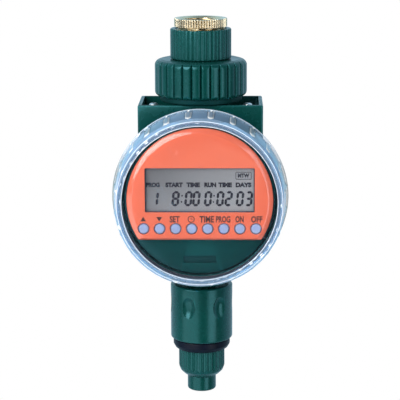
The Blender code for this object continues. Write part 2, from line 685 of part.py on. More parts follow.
def build_outlet():
    profile = [
        (outside(13.6, MEDIUM), NIPPLE_TOP),
        (NIPPLE_R, NIPPLE_TOP),
        (NIPPLE_R, NIPPLE_BOTTOM),
        (8, NIPPLE_BOTTOM),
        (8, -61.8),
        (6.9, -61.8),
        (6.9, -64),
        (8, -64),
        (7.4, -68),
        (5, -68),
        (5, -48),
        (outside(13.6, MEDIUM), -48),
    ]
    piece("outlet_nipple", turned(profile, MEDIUM), "dark_green")
    ring = [(7.2, -62.1), (8.7, -62.1), (8.7, -63.7), (7.2, -63.7)]
    piece("nipple_o_ring", turned(ring, SMALL), "rubber")
    profile = [
        (outside(9.1, MEDIUM), -54),
        (12.9, -54),
        (12.9, -78.2),
        (15.1, -78.2),
        (15.1, -82.6),
        (10.2, -82.6),
        (10.2, -97),
        (4.2, -97),
        (4.2, -106),
        (2.8, -106),
        (2.8, -70.5),
        (outside(9.1, MEDIUM), -70.5),
    ]
    piece("connector_core", turned(profile, MEDIUM), "dark_green")
    profile = [
        (13.5, SLEEVE_TOP),
        (SLEEVE_R - 0.6, SLEEVE_TOP),
        (SLEEVE_R, SLEEVE_TOP - 0.9),
        (SLEEVE_R, SLEEVE_BOTTOM + 1),
        (SLEEVE_R - 0.45, SLEEVE_BOTTOM),
        (outside(15.6, MEDIUM), SLEEVE_BOTTOM),
        (outside(15.6, MEDIUM), -74),
        (13.5, -74),
    ]
    sleeve = piece("connector_sleeve", turned(profile, MEDIUM), "green_plastic")
    for number in range(DIMPLES):
        angle = DIMPLE_OFFSET - math.pi / 2 + 2 * math.pi * number / DIMPLES
        dimple = bmesh.new()
        bmesh.ops.create_uvsphere(dimple, u_segments=10, v_segments=6, radius=1)
        bmesh.ops.scale(dimple, verts=dimple.verts, vec=DIMPLE_SIZE)
        centre = (DIMPLE_CENTRE_R * math.cos(angle), DIMPLE_CENTRE_R * math.sin(angle), DIMPLE_Z)
        bmesh.ops.translate(dimple, verts=dimple.verts, vec=centre)
        cut(sleeve, dimple)
    profile = [
        (10.6, -82.9),
        (14.6, -82.9),
        (RING_R, -84),
        (RING_R, -86.6),
        (14.3, -88.4),
        (13.4, RING_BOTTOM),
        (12.9, RING_BOTTOM),
        (12.5, -86.6),
        (10.6, -86.6),
    ]
    piece("connector_ring", turned(profile, MEDIUM), "rubber")
    profile = [
        (outside(10.6, MEDIUM), HOSE_NUT_TOP),
        (HOSE_NUT_R - 0.6, HOSE_NUT_TOP),
        (HOSE_NUT_R, HOSE_NUT_TOP - 0.8),
        (HOSE_NUT_R, -99.2),
        (11.5, -101.5),
        (9.6, -103.5),
        (7.7, -104.6),
        (7.7, HOSE_END + 0.8),
        (7.5, HOSE_END),
        (6.8, HOSE_END),
        (6.8, -102.4),
        (outside(10.6, MEDIUM), -98.6),
    ]
    piece("hose_nut", turned(profile, MEDIUM), "green_plastic")
    collet = [(5.6, -97.4), (8.6, -97.4), (8.6, -98.5), (6.4, -99.6), (6.4, -110.5), (5.6, -110.5)]
    piece("grip_collet", turned(collet, SMALL), "white_plastic")


def shade():
    for obj in bpy.data.objects:
        obj.data.shade_smooth()
        obj.data.set_sharp_from_angle(angle=math.radians(30))


clear_scene()
build_inlet()
build_valve()
build_gearbox()
build_housing()
build_module()
build_lid()
build_outlet()
shade()
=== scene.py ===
"""The looks of the drip irrigation timer: fine surfaces, materials, studio light and camera.

Lengths are in millimetres until a mesh is made, measured from where the flow axis crosses the lid's axis.
Places and main sizes come from the CAD nodes' boxes.
"""

import json
import math

import bmesh
import bpy
from mathutils import Matrix, Vector

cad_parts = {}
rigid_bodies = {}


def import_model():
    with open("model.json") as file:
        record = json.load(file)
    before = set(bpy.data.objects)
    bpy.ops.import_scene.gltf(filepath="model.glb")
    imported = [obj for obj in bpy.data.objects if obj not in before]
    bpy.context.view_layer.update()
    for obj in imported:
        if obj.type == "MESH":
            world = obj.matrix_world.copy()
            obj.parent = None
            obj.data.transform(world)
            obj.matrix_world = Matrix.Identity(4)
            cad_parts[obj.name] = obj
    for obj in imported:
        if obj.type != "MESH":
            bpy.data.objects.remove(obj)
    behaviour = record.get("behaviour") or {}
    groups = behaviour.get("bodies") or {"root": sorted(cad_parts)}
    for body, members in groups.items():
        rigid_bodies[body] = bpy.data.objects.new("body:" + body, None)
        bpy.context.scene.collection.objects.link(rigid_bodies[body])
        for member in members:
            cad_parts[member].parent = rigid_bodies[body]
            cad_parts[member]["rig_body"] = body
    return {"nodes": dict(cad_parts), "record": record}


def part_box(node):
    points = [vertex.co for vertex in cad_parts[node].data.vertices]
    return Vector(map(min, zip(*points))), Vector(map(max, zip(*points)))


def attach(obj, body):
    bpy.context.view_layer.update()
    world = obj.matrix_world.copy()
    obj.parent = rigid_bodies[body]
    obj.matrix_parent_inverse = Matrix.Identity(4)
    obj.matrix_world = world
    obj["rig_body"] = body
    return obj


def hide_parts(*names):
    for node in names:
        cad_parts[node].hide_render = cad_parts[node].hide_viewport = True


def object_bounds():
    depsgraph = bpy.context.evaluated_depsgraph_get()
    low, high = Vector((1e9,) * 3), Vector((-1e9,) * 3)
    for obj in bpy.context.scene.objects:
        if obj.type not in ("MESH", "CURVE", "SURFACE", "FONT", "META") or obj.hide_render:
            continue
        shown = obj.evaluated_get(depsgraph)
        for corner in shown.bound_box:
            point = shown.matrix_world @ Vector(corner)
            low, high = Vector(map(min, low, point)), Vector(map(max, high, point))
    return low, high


for startup in list(bpy.data.objects):
    bpy.data.objects.remove(startup)

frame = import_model()
cad_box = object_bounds()

MM = 0.001
CROSSING = Vector((0, 10.9, 112.5))
ROUND = 192
FINE = 384
COARSE = 64
SLOTS = {entry["node"]: entry["material_slot"] for entry in frame["record"]["subparts"]}

# -------------------- shapes


def extent(node):
    """The node's box at rest, in millimetres from the crossing of the axes."""
    low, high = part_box(node)
    return low / MM - CROSSING, high / MM - CROSSING


def radius_of(node):
    """Half the node's width across its axis."""
    low, high = extent(node)
    return (high.x - low.x) / 2


def rounded(corners, steps=5):
    """A closed outline of (x, y, fillet) corners with each corner turned into an arc."""
    points = []
    count = len(corners)
    for index, (x, y, fillet) in enumerate(corners):
        here = Vector((x, y))
        before = Vector(corners[index - 1][:2]) - here
        after = Vector(corners[(index + 1) % count][:2]) - here
        if fillet == 0 or before.length == 0 or after.length == 0:
            points.append((x, y))
            continue
        before.normalize()
        after.normalize()
        half = before.angle(after) / 2
        setback = fillet / math.tan(half)
        middle = here + (before + after).normalized() * (fillet / math.sin(half))
        first = here + before * setback - middle
        last = here + after * setback - middle
        sweep = math.atan2(first.x * last.y - first.y * last.x, first.dot(last))
        start = math.atan2(first.y, first.x)
        for step in range(steps + 1):
            angle = start + sweep * step / steps
            points.append((middle.x + fillet * math.cos(angle), middle.y + fillet * math.sin(angle)))
    return points


def densified(outline, longest):
    """The outline with extra points, so that no side is longer than the given length."""
    points = []
    for (x0, y0), (x1, y1) in zip(outline, outline[1:] + outline[:1]):
        parts = max(1, math.ceil(math.hypot(x1 - x0, y1 - y0) / longest))
        points += [(x0 + (x1 - x0) * k / parts, y0 + (y1 - y0) * k / parts) for k in range(parts)]
    return points


def polar(radius, angle):
    return radius * math.cos(angle), radius * math.sin(angle)


def along(axis, across, up, height):
    """A point at a height along the Y or Z axis."""
    return Vector((across, height, up) if axis == "Y" else (across, up, height))


def lathe(outline, segments=ROUND, axis="Z", centre=(0, 0), surface=None):
    """A closed (radius, height) outline turned about an axis. surface gives a point's changed radius."""
    shape = bmesh.new()
    rings = []
    for radius, height in outline:
        if radius < 1e-6:
            rings.append([shape.verts.new(along(axis, *centre, height))])
            continue
        ring = []
        for step in range(segments):
            angle = 2 * math.pi * step / segments
            r = surface(radius, height, angle) if surface else radius
            across, up = centre[0] + r * math.cos(angle), centre[1] + r * math.sin(angle)
            ring.append(shape.verts.new(along(axis, across, up, height)))
        rings.append(ring)
    for first, second in zip(rings, rings[1:] + rings[:1]):
        if len(first) == 1 and len(second) == 1:
            continue
        for step in range(segments):
            after = (step + 1) % segments
            corners = [first[step % len(first)], first[after % len(first)]]
            corners += [second[after % len(second)], second[step % len(second)]]
            shape.faces.new(list(dict.fromkeys(corners)))
    return shape


def add_block(shape, low, high):
    made = bmesh.ops.create_cube(shape, size=1)["verts"]
    bmesh.ops.scale(shape, verts=made, vec=Vector(high) - Vector(low))
    bmesh.ops.translate(shape, verts=made, vec=(Vector(high) + Vector(low)) / 2)


def block(low, high, bevel=0.0, segments=3):
    shape = bmesh.new()
    add_block(shape, low, high)
    if bevel:
        edges = shape.edges[:]
        bmesh.ops.bevel(shape, geom=edges, offset=bevel, segments=segments, profile=0.5, affect="EDGES")
    return shape


def rod(radius, low, high, axis="Z", centre=(0, 0), segments=COARSE, edge=0.0):
    corners = [(0, low, 0), (radius, low, edge), (radius, high, edge), (0, high, 0)]
    return lathe(rounded(corners, 3), segments, axis, centre)


def skin(shape, rings):
    """Joins rings of the same number of points side by side, and closes both ends."""
    for first, second in zip(rings, rings[1:]):
        for step in range(len(first)):
            after = (step + 1) % len(first)
            shape.faces.new((first[step], first[after], second[after], second[step]))
    shape.faces.new(rings[0])
    shape.faces.new(rings[-1])


def add_loft(shape, layers):
    """A solid through (outline, y) layers, where the outlines hold (x, z) points and have the same length."""
    skin(shape, [[shape.verts.new((x, y, z)) for x, z in outline] for outline, y in layers])


def coil(section, pitch, start, end, axis="Y", steps_per_turn=96, lead_in=0.0, rise=0.0):
    """A closed (radius, height) section swept along a helix from the height rise. Its ends fade away."""
    shape = bmesh.new()
    rings = []
    steps = max(2, round(abs(end - start) / (2 * math.pi) * steps_per_turn))
    root = section[0][0]
    for step in range(steps + 1):
        angle = start + (end - start) * step / steps
        fade = min(1.0, min(step, steps - step) / max(1.0, lead_in * steps)) if lead_in else 1.0
        height = rise + pitch * (angle - start) / (2 * math.pi)
        ring = []
        for radius, lift in section:
            r = root + (radius - root) * (0.25 + 0.75 * fade)
            point = along(axis, r * math.cos(angle), r * math.sin(angle), height + lift)
            ring.append(shape.verts.new(point))
        rings.append(ring)
    skin(shape, rings)
    return shape


def mesh_from(name, shape):
    mesh = bpy.data.meshes.new(name)
    shape.to_mesh(mesh)
    shape.free()
    return mesh


def piece(name, shape, material, body, stands_for=None, slot=None, sharp=35.0):
    """An object from a bmesh in millimetres, riding on a CAD body and standing for a CAD node."""
    bmesh.ops.recalc_face_normals(shape, faces=shape.faces)
    bmesh.ops.translate(shape, verts=shape.verts, vec=CROSSING)
    bmesh.ops.scale(shape, verts=shape.verts, vec=(MM, MM, MM))
    mesh = mesh_from(name, shape)
    mesh.materials.append(material)
    obj = bpy.data.objects.new(name, mesh)
    bpy.context.scene.collection.objects.link(obj)
    if body:
        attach(obj, body)
    if stands_for:
        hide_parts(stands_for)
        slot = slot or SLOTS[stands_for]
    smooth(obj, sharp)
    return obj


def smooth(obj, sharp=35.0):
    obj.data.shade_smooth()
    obj.data.set_sharp_from_angle(angle=math.radians(sharp))


def evaluated(obj):
    """Replaces the object's mesh by what its modifiers make of it."""
    bpy.context.view_layer.update()
    graph = bpy.context.evaluated_depsgraph_get()
    mesh = bpy.data.meshes.new_from_object(obj.evaluated_get(graph))
    obj.modifiers.clear()
    obj.data = mesh


def combine(obj, shape, operation):
    tool = piece("tool", shape, obj.data.materials[0], None)
    modifier = obj.modifiers.new(operation, "BOOLEAN")
    modifier.operation = operation
    modifier.solver = "EXACT"
    modifier.object = tool
    evaluated(obj)
    bpy.data.objects.remove(tool)


def cut(obj, *shapes):
    for shape in shapes:
        combine(obj, shape, "DIFFERENCE")


def join(obj, *shapes):
    for shape in shapes:
        combine(obj, shape, "UNION")


def soften(obj, width):
    """Rounds the sharp edges."""
    modifier = obj.modifiers.new("soften", "BEVEL")
    modifier.width = width * MM
    modifier.segments = 3
    modifier.limit_method = "ANGLE"
    modifier.angle_limit = math.radians(40)
    evaluated(obj)


def ribbed(radius, count, depth, groove_share, phase=0.0, crown=0.0):
    """Grip ribs: axis-parallel grooves cut into whatever reaches past the groove's floor."""
    pitch = 2 * math.pi / count

    def surface(r, height, angle):
        local = ((angle - phase) / pitch + 0.5) % 1.0 - 0.5
        edge = 0.5 - abs(local)
        groove = math.exp(-((edge / (groove_share / 2)) ** 2) * 2.0)
        limit = radius - depth * groove - crown * (2 * local) ** 2
        return min(r, limit)

    return surface


def thread_wave(radius, depth, pitch, outward=True):
    """A screw thread on the stretch of an outline that lies on the given radius."""

    def surface(r, height, angle):
        if abs(r - radius) > 1e-4:
            return r
        turn = (height / pitch - angle / (2 * math.pi)) % 1.0
        crest = 1 - abs(2 * turn - 1)
        shaped = min(1.0, max(0.0, crest * 1.7 - 0.35))
        return r - depth * (1 - shaped) if outward else r + depth * (1 - shaped)

    return surface


def thread_run(radius, start, end, pitch):
    """Outline points along a threaded stretch, close enough together to show its flanks."""
    count = max(2, math.ceil(abs(end - start) / (pitch / 10)))
    return [(radius, start + (end - start) * step / count) for step in range(count + 1)]


# -------------------- materials

BUMP_DEPTH = 0.04 * MM


class Graph:
    """Short ways to add nodes to a tree. A value is a number, a tuple, a vector or a node's socket."""

    def __init__(self, tree):
        self.tree = tree

    def put(self, value, socket):
        if isinstance(value, (int, float, tuple, Vector)):
            socket.default_value = value
        else:
            self.tree.links.new(value, socket)

    def add(self, kind, inputs=None, **settings):
        """A node with its settings, and its inputs by name or by number."""
        node = self.tree.nodes.new(kind)
        for key, value in settings.items():
            setattr(node, key, value)
        for key, value in (inputs or {}).items():
            self.put(value, node.inputs[key])
        return node

    def ranged(self, value, low, high, start=0.3, end=0.7, curve="LINEAR"):
        """The value carried from the range start to end to the range low to high, and held at its ends."""
        inputs = {"From Min": start, "From Max": end, "To Min": low, "To Max": high, "Value": value}
        return self.add("ShaderNodeMapRange", inputs, interpolation_type=curve).outputs["Result"]

    def mixed(self, factor, first, second):
        """A colour between two."""
        inputs = {0: factor}
        for key, colour in ((6, first), (7, second)):
            inputs[key] = (*colour, 1.0) if isinstance(colour, tuple) else colour
        return self.add("ShaderNodeMix", inputs, data_type="RGBA").outputs[2]

    def math(self, operation, *values):
        return self.add("ShaderNodeMath", dict(enumerate(values)), operation=operation).outputs[0]

    def vector(self, operation, *values):
        return self.add("ShaderNodeVectorMath", dict(enumerate(values)), operation=operation).outputs

    def blended(self, *values):
        """A shader between two, by a factor."""
        return self.add("ShaderNodeMixShader", dict(enumerate(values))).outputs[0]

    def along_axes(self, vector):
        """The vector's X, Y and Z sockets."""
        return self.add("ShaderNodeSeparateXYZ", {0: vector}).outputs

    def ray(self, kind):
        return self.add("ShaderNodeLightPath").outputs[f"Is {kind} Ray"]


class Nodes(Graph):
    """A new material's nodes."""

    def __init__(self, name):
        self.material = bpy.data.materials.new(name)
        self.material.use_nodes = True
        super().__init__(self.material.node_tree)
        self.shader = self.tree.nodes["Principled BSDF"]
        self.place = self.add("ShaderNodeTexCoord").outputs["Object"]

    def noise(self, scale, detail=2.0, roughness=0.5, vector=None):
        inputs = {"Scale": scale, "Detail": detail, "Roughness": roughness, "Vector": vector or self.place}
        return self.add("ShaderNodeTexNoise", inputs).outputs["Fac"]

    def bump(self, heights):
        """heights is a list of (socket, strength), stacked one on another."""
        below = {}
        for height, strength in heights:
            inputs = {"Strength": strength, "Distance": BUMP_DEPTH, "Height": height, **below}
            below = {"Normal": self.add("ShaderNodeBump", inputs).outputs["Normal"]}
        self.set(**below)

    def edges(self, start, end, low=0.0, high=1.0):
        """A value that grows from flat faces (0.5) to convex edges, or shrinks towards hollows."""
        return self.ranged(self.add("ShaderNodeNewGeometry").outputs["Pointiness"], low, high, start, end)

    def worn(self, colour, light, amount):
        """The colour with its convex edges rubbed a little lighter."""
        return self.mixed(self.edges(0.51, 0.58, 0.0, amount), colour, light)

    def set(self, **values):
        for key, value in values.items():
            self.put(value, self.shader.inputs[key.replace("_", " ")])

    def show(self, surface):
        self.put(surface, self.tree.nodes["Material Output"].inputs["Surface"])


def tinted(colour, factor):
    return tuple(min(1.0, channel * factor) for channel in colour)


def moulded(name, colour, roughness, worn_to, grain=0.12, mottling=0.1, **finish):
    """Injection-moulded plastic: a faint flow mottling, a fine skin grain and lighter rubbed edges."""
    n = Nodes(name)
    flow = n.ranged(n.noise(55, 3.0, 0.6), 0.0, 1.0)
    base = n.mixed(flow, tinted(colour, 1 - mottling), tinted(colour, 1 + mottling))
    smudge = n.noise(95, 4.0, 0.7)
    n.set(Base_Color=n.worn(base, worn_to, 0.5), Coat_Roughness=0.06, **finish)
    n.set(Roughness=n.ranged(smudge, roughness - 0.05, roughness + 0.09))
    n.bump([(n.noise(140, 1.0), 0.25), (n.noise(1500, 2.0), grain)])
    return n.material


def clear_polystyrene(name, tint, low, high):
    """Clear plastic as a thin veil, denser where it is seen edge-on. Returns its nodes and the veil."""
    n = Nodes(name)
    haze = n.noise(70, 4.0, 0.65)
    n.set(Base_Color=(*tint, 1.0), Roughness=n.ranged(haze, 0.07, 0.13))
    n.bump([(n.noise(45, 1.0), 0.1), (n.noise(420, 3.0, 0.6), 0.02)])
    facing = n.add("ShaderNodeLayerWeight", {"Blend": 0.5}).outputs["Facing"]
    return n, n.ranged(facing, low, high, 0.1, 0.9)


def lay_veil(n, veil):
    """Shows what lies behind through a faintly shining pane, and the plastic where the veil is dense."""
    through = n.add("ShaderNodeBsdfTransparent", {"Color": (0.985, 0.985, 0.99, 1.0)}).outputs[0]
    sheen = n.add("ShaderNodeBsdfAnisotropic", {"Roughness": 0.06, "Color": (*SHEEN, 1.0)}).outputs[0]
    edge = n.add("ShaderNodeFresnel", {"IOR": 1.2}).outputs[0]
    n.show(n.blended(veil, n.blended(edge, through, sheen), n.shader.outputs[0]))
    return n.material


def window_plastic(name):
    return lay_veil(*clear_polystyrene(name, (0.75, 0.78, 0.80), 0.0, 0.2))


def lid_plastic(name, tint, window):
    """Nearly absent inside the window radius, with painted highlights on its edges, painted shade in its
    hollows, dark green painted on its flanks where the drum shows through, and painted pale light along its
    foot.
    """
    n, veil = clear_polystyrene(name, tint, 0.24, 0.66)
    centred = n.vector("SUBTRACT", n.place, CROSSING * MM)["Vector"]
    flat = n.vector("MULTIPLY", centred, (1, 0, 1))["Vector"]
    reach = n.vector("LENGTH", flat)["Value"]
    height = n.along_axes(flat)["Z"]
    # Painted light: the lid's foot is turned pale blue, as if lit from the floor below.
    pale = n.mixed(n.ranged(height, 0.45, 0.0, -38 * MM, -22 * MM), tint, (0.60, 0.80, 1.0))
    # Painted shade: the hollows are darkened to a third of the tint.
    shaded = n.mixed(n.edges(0.44, 0.495), tinted(tint, 0.35), pale)
    # Painted highlight: the convex edges are turned near-white.
    lit = n.mixed(n.edges(0.503, 0.54), shaded, (0.95, 0.98, 1.0))
    # Painted dark green on the side flanks, standing in for the green drum seen through them.
    middle = n.ranged(n.math("ABSOLUTE", height), 0.8, 0.0, 13 * MM, 26 * MM)
    flank = n.ranged(reach, 0.0, 1.0, 43.5 * MM, 44.1 * MM)
    n.set(Base_Color=n.mixed(n.math("MULTIPLY", middle, flank), lit, (0.01, 0.09, 0.08)))
    wall = n.ranged(reach, 0.04, 1.0, (window - 0.3) * MM, (window + 0.4) * MM)
    direct = n.ranged(n.ray("Camera"), 0.2, 1.0, 0.0, 1.0)
    veil = n.math("MAXIMUM", veil, n.edges(0.503, 0.54, 0.0, 0.95))
    return lay_veil(n, n.math("MULTIPLY", n.math("MULTIPLY", veil, wall), direct))


def turned_metal(name, colour, roughness, lines):
    """Bright metal with fine turning lines round its axis, darker spots, and painted shade in its hollows."""
    n = Nodes(name)
    stretched = n.add("ShaderNodeMapping", {"Scale": (0.03, 0.03, 1), "Vector": n.place}).outputs["Vector"]
    rings = n.noise(lines, 3.0, 0.6, stretched)
    stain = n.ranged(n.noise(160, 4.0, 0.65), 0.0, 1.0)
    clean = n.mixed(stain, tinted(colour, 0.82), colour)
    # Painted shade: the hollows are darkened to a quarter of the colour.
    n.set(Base_Color=n.mixed(n.edges(0.40, 0.50), tinted(colour, 0.25), clean), Metallic=1.0)
    n.set(Roughness=n.ranged(rings, roughness - 0.07, roughness + 0.12))
    n.bump([(rings, 0.1), (n.noise(900, 2.0), 0.05)])
    return n.material


def soft_rubber(name, colour, roughness, **finish):
    """Matt rubber with a little dust and a fine grain."""
    n = Nodes(name)
    dust = n.ranged(n.noise(260, 4.0, 0.7), 0.0, 1.0, 0.45, 0.8)
    n.set(Base_Color=n.mixed(dust, colour, tinted(colour, 1.9)), **finish)
    n.set(Roughness=n.ranged(n.noise(120, 2.0), roughness - 0.06, roughness + 0.1))
    n.bump([(n.noise(1900, 2.0), 0.22)])
    return n.material


def silicone(name, colour):
    """Slightly translucent rubber with a faint cloud."""
    n = Nodes(name)
    cloud = n.ranged(n.noise(300, 3.0), 0.0, 1.0)
    n.set(Base_Color=n.mixed(cloud, tinted(colour, 0.93), tinted(colour, 1.05)))
    n.set(Subsurface_Weight=0.35, Subsurface_Radius=(0.5, 0.6, 1.0), Subsurface_Scale=MM)
    n.set(Roughness=n.ranged(n.noise(500, 2.0), 0.38, 0.52))
    n.bump([(n.noise(2200, 2.0), 0.15)])
    return n.material


def display_film(name, half_width, bottom, top):
    """The grey reflector of the display with painted shading, darker at its upper left and lighter towards
    the lower right, and a fine metallic grain.
    """
    n = Nodes(name)
    place = n.along_axes(n.place)
    # Painted shading: a gradient from dark at the upper left to light at the lower right.
    across = n.ranged(place["X"], 0.0, 1.0, -half_width * MM, half_width * MM)
    down = n.ranged(place["Z"], 1.0, 0.0, (CROSSING.z + bottom) * MM, (CROSSING.z + top) * MM)
    shade = n.ranged(n.math("MULTIPLY_ADD", down, 0.55, across), 0.0, 1.0, 0.0, 1.5)
    base = n.mixed(shade, (0.115, 0.115, 0.118), (0.50, 0.50, 0.50))
    grain = n.noise(3800, 2.0)
    n.set(Base_Color=n.mixed(n.ranged(grain, 0.0, 0.12), base, (0.60, 0.60, 0.60)))
    n.set(Roughness=n.ranged(n.noise(1500, 2.0), 0.34, 0.5), Specular_IOR_Level=0.25)
    n.bump([(grain, 0.1)])
    return n.material


def solder_mask(name):
    """Green lacquer over a grid of copper tracks."""
    n = Nodes(name)
    inputs = {"Scale": 210, "Mortar Size": 0.03, "Vector": n.place}
    tracks = n.add("ShaderNodeTexBrick", inputs).outputs["Fac"]
    n.set(Base_Color=n.mixed(tracks, (0.012, 0.13, 0.045), (0.03, 0.22, 0.08)))
    n.set(Roughness=n.ranged(n.noise(300, 2.0), 0.25, 0.4))
    n.bump([(tracks, 0.3), (n.noise(1200, 2.0), 0.08)])
    return n.material


def battery_jacket(name):
    """A plain two-tone cell jacket, banded along its length."""
    n = Nodes(name)
    band = n.ranged(n.along_axes(n.place)["X"], 0.0, 1.0, 11.8 * MM, 12.2 * MM)
    n.set(Base_Color=n.mixed(band, (0.02, 0.022, 0.026), (0.55, 0.28, 0.08)), Metallic=0.35)
    n.set(Roughness=n.ranged(n.noise(400, 3.0), 0.24, 0.36))
    n.bump([(n.noise(700, 2.0), 0.06)])
    return n.material


SHEEN = (0.35, 0.75, 1.0)
CYAN = {"Specular_Tint": (0.30, 0.85, 1.0, 1.0)}
GREEN = moulded("green_moulding", (0.0014, 0.039, 0.033), 0.24, (0.012, 0.10, 0.10), IOR=1.53, **CYAN)
# Dark green moulding, also laid as painted shade on the nut's skirt and on the floor of the finger slot.
DARK_GREEN_AND_SHADE = moulded("dark_green_and_shade_moulding", (0.001, 0.020, 0.018), 0.45, (0.004, 0.04, 0.04), IOR=1.3, **CYAN)
GLOSSY_GREEN = moulded(
    "polished_green_moulding", (0.0006, 0.026, 0.022), 0.12, (0.01, 0.1, 0.1), 0.04, **CYAN
)
ORANGE = moulded("coral_moulding", (0.85, 0.160, 0.080), 0.2, (0.94, 0.22, 0.12), 0.06, 0.02, Coat_Weight=1.0)
ACETAL = moulded("natural_acetal", (0.62, 0.62, 0.58), 0.42, (0.75, 0.75, 0.72), 0.1, 0.04)
BLACK_PLASTIC = moulded("black_moulding", (0.012, 0.012, 0.014), 0.4, (0.05, 0.05, 0.06))
INK = moulded("printed_ink", (0.050, 0.013, 0.009), 0.5, (0.10, 0.03, 0.02), 0.02, 0.15)
SEGMENT = moulded("display_segment", (0.012, 0.009, 0.015), 0.6, (0.02, 0.015, 0.03), 0.02, 0.1)
# Painted highlight: the pale colour of the opaque rings on the bezel's lit edges.
LIT_EDGE = moulded("lit_clear_edge", (0.62, 0.74, 0.92), 0.15, (0.9, 0.95, 1.0), 0.02, 0.08)
CLEAR = lid_plastic("clear_lid_plastic", (0.30, 0.48, 0.72), 39.8)
WINDOW = window_plastic("clear_window_plastic")
BRASS = turned_metal("turned_brass", (0.90, 0.77, 0.54), 0.22, 2600)
STEEL = turned_metal("zinc_plated_steel", (0.74, 0.75, 0.77), 0.27, 2200)
RUBBER = soft_rubber("black_rubber", (0.010, 0.011, 0.022), 0.55, Sheen_Weight=0.2)
NAVY = soft_rubber("navy_elastomer", (0.001, 0.003, 0.010), 0.4, IOR=1.24)
SILICONE = silicone("blue_silicone", (0.33, 0.41, 0.63))
BOARD = solder_mask("green_solder_mask")
BATTERY = battery_jacket("cell_jacket")


# -------------------- shared features


def chained(*surfaces):
    """Several surface changes, one after another."""

    def surface(r, height, angle):
        for one in surfaces:
            r = one(r, height, angle)
        return r

    return surface


def between(low, high, inner):
    """The surface change only at heights from low to high."""

    def surface(r, height, angle):
        return inner(r, height, angle) if low - 1e-6 <= height <= high + 1e-6 else r

    return surface


SCREW_PITCH = 0.9
SHANK_R = 1.0


def screw(node, axis, head, head_radius):
    """A pan-head screw with a cross recess and a cut thread, in its CAD node's box."""
    low, high = extent(node)
    middle = (low + high) / 2
    across, up = (middle.x, middle.z) if axis == "Y" else (middle.x, middle.y)
    tip, top = (low.y, high.y) if axis == "Y" else (low.z, high.z)
    base, crown = top - head, 0.62 * head
    outline = [(0, tip), (SHANK_R * 0.5, tip), *thread_run(SHANK_R, tip + 0.6, base - 0.2, SCREW_PITCH)]
    outline += [(SHANK_R + 0.02, base), (head_radius - 0.12, base), (head_radius, base + 0.12)]
    for step in range(8):
        turn = math.pi / 2 * step / 7
        outline.append((head_radius * math.cos(turn) ** 0.75, top - crown * (1 - math.sin(turn))))
    shape = lathe(outline, 48, axis, (across, up), thread_wave(SHANK_R, 0.22, SCREW_PITCH))
    obj = piece(f"{node}_turned", shape, STEEL, frame["nodes"][node]["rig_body"], node)
    reach, half = head_radius * 0.52, head_radius * 0.13
    for wide, tall in ((reach, half), (half, reach)):
        corner = along(axis, across - wide, up - tall, top - crown)
        cut(obj, block(corner, along(axis, across + wide, up + tall, top + 1)))
    smooth(obj, 30)


# -------------------- tap inlet

BRASS_TEETH = 60
COLLAR_FLUTES = 40
NUT_RIBS = 30
PIPE_PITCH = 1.814
NUT_PITCH = 2.309


def brass_fitting():
    low, high = extent("brass_reducer")
    flange, bore, shank = radius_of("brass_reducer"), 10.3, 12.8
    top, bottom = high.z, low.z
    under = top - 4.3
    outline = [(8.4, bottom), (8.4, bottom + 3)]
    outline += thread_run(bore, bottom + 3.2, top - 1.0, PIPE_PITCH)
    side = [(flange, top - 0.6 * step, 0) for step in range(1, 7)]
    knurl = [(bore + 1.0, top, 0), (flange, top, 0.35), *side, (flange, under, 0.35), (shank + 0.3, under, 0)]
    outline += rounded(knurl, 3)
    outline += [(shank + 0.02, under - 0.15)]
    outline += thread_run(shank, under - 0.2, bottom + 0.8, PIPE_PITCH)
    outline += [(shank - 0.9, bottom)]
    teeth = ribbed(flange, BRASS_TEETH, 0.6, 0.6)
    threads = (thread_wave(bore, 0.75, PIPE_PITCH, False), thread_wave(shank, 0.7, PIPE_PITCH))
    shape = lathe(outline, BRASS_TEETH * 10, surface=chained(teeth, *threads))
    piece("brass_fitting", shape, BRASS, "inlet_stack", "brass_reducer", sharp=28)


def tap_collar():
    low, high = extent("tap_adapter")
    wall, bore, through, neck = 16.0, 13.15, 7.6, 14.3
    bottom, top = low.z, high.z
    shoulder = bottom + 7.8
    rim, under = radius_of("tap_adapter"), bottom + 2.3
    outer = [(through, bottom, 0.3), (rim, bottom, 0.4), (rim, under, 0.4), (neck, under, 0.3)]
    outer += [(neck, shoulder, 0.3), (wall, shoulder, 0.5), (wall, top, 0.7), (bore + 0.5, top, 0.25)]
    outer += [(bore, top - 0.6, 0)]
    outline = rounded(outer, 4)
    outline += thread_run(bore, top - 0.8, bottom + 10.4, PIPE_PITCH)
    outline += [(bore - 0.3, bottom + 10), (through, bottom + 10)]
    flutes = between(shoulder, top, ribbed(wall, COLLAR_FLUTES, 0.34, 0.55))
    thread = thread_wave(bore, 0.7, PIPE_PITCH, False)
    shape = lathe(outline, COLLAR_FLUTES * 12, surface=chained(flutes, thread))
    piece("tap_collar", shape, GREEN, "inlet_stack", "tap_adapter", sharp=28)


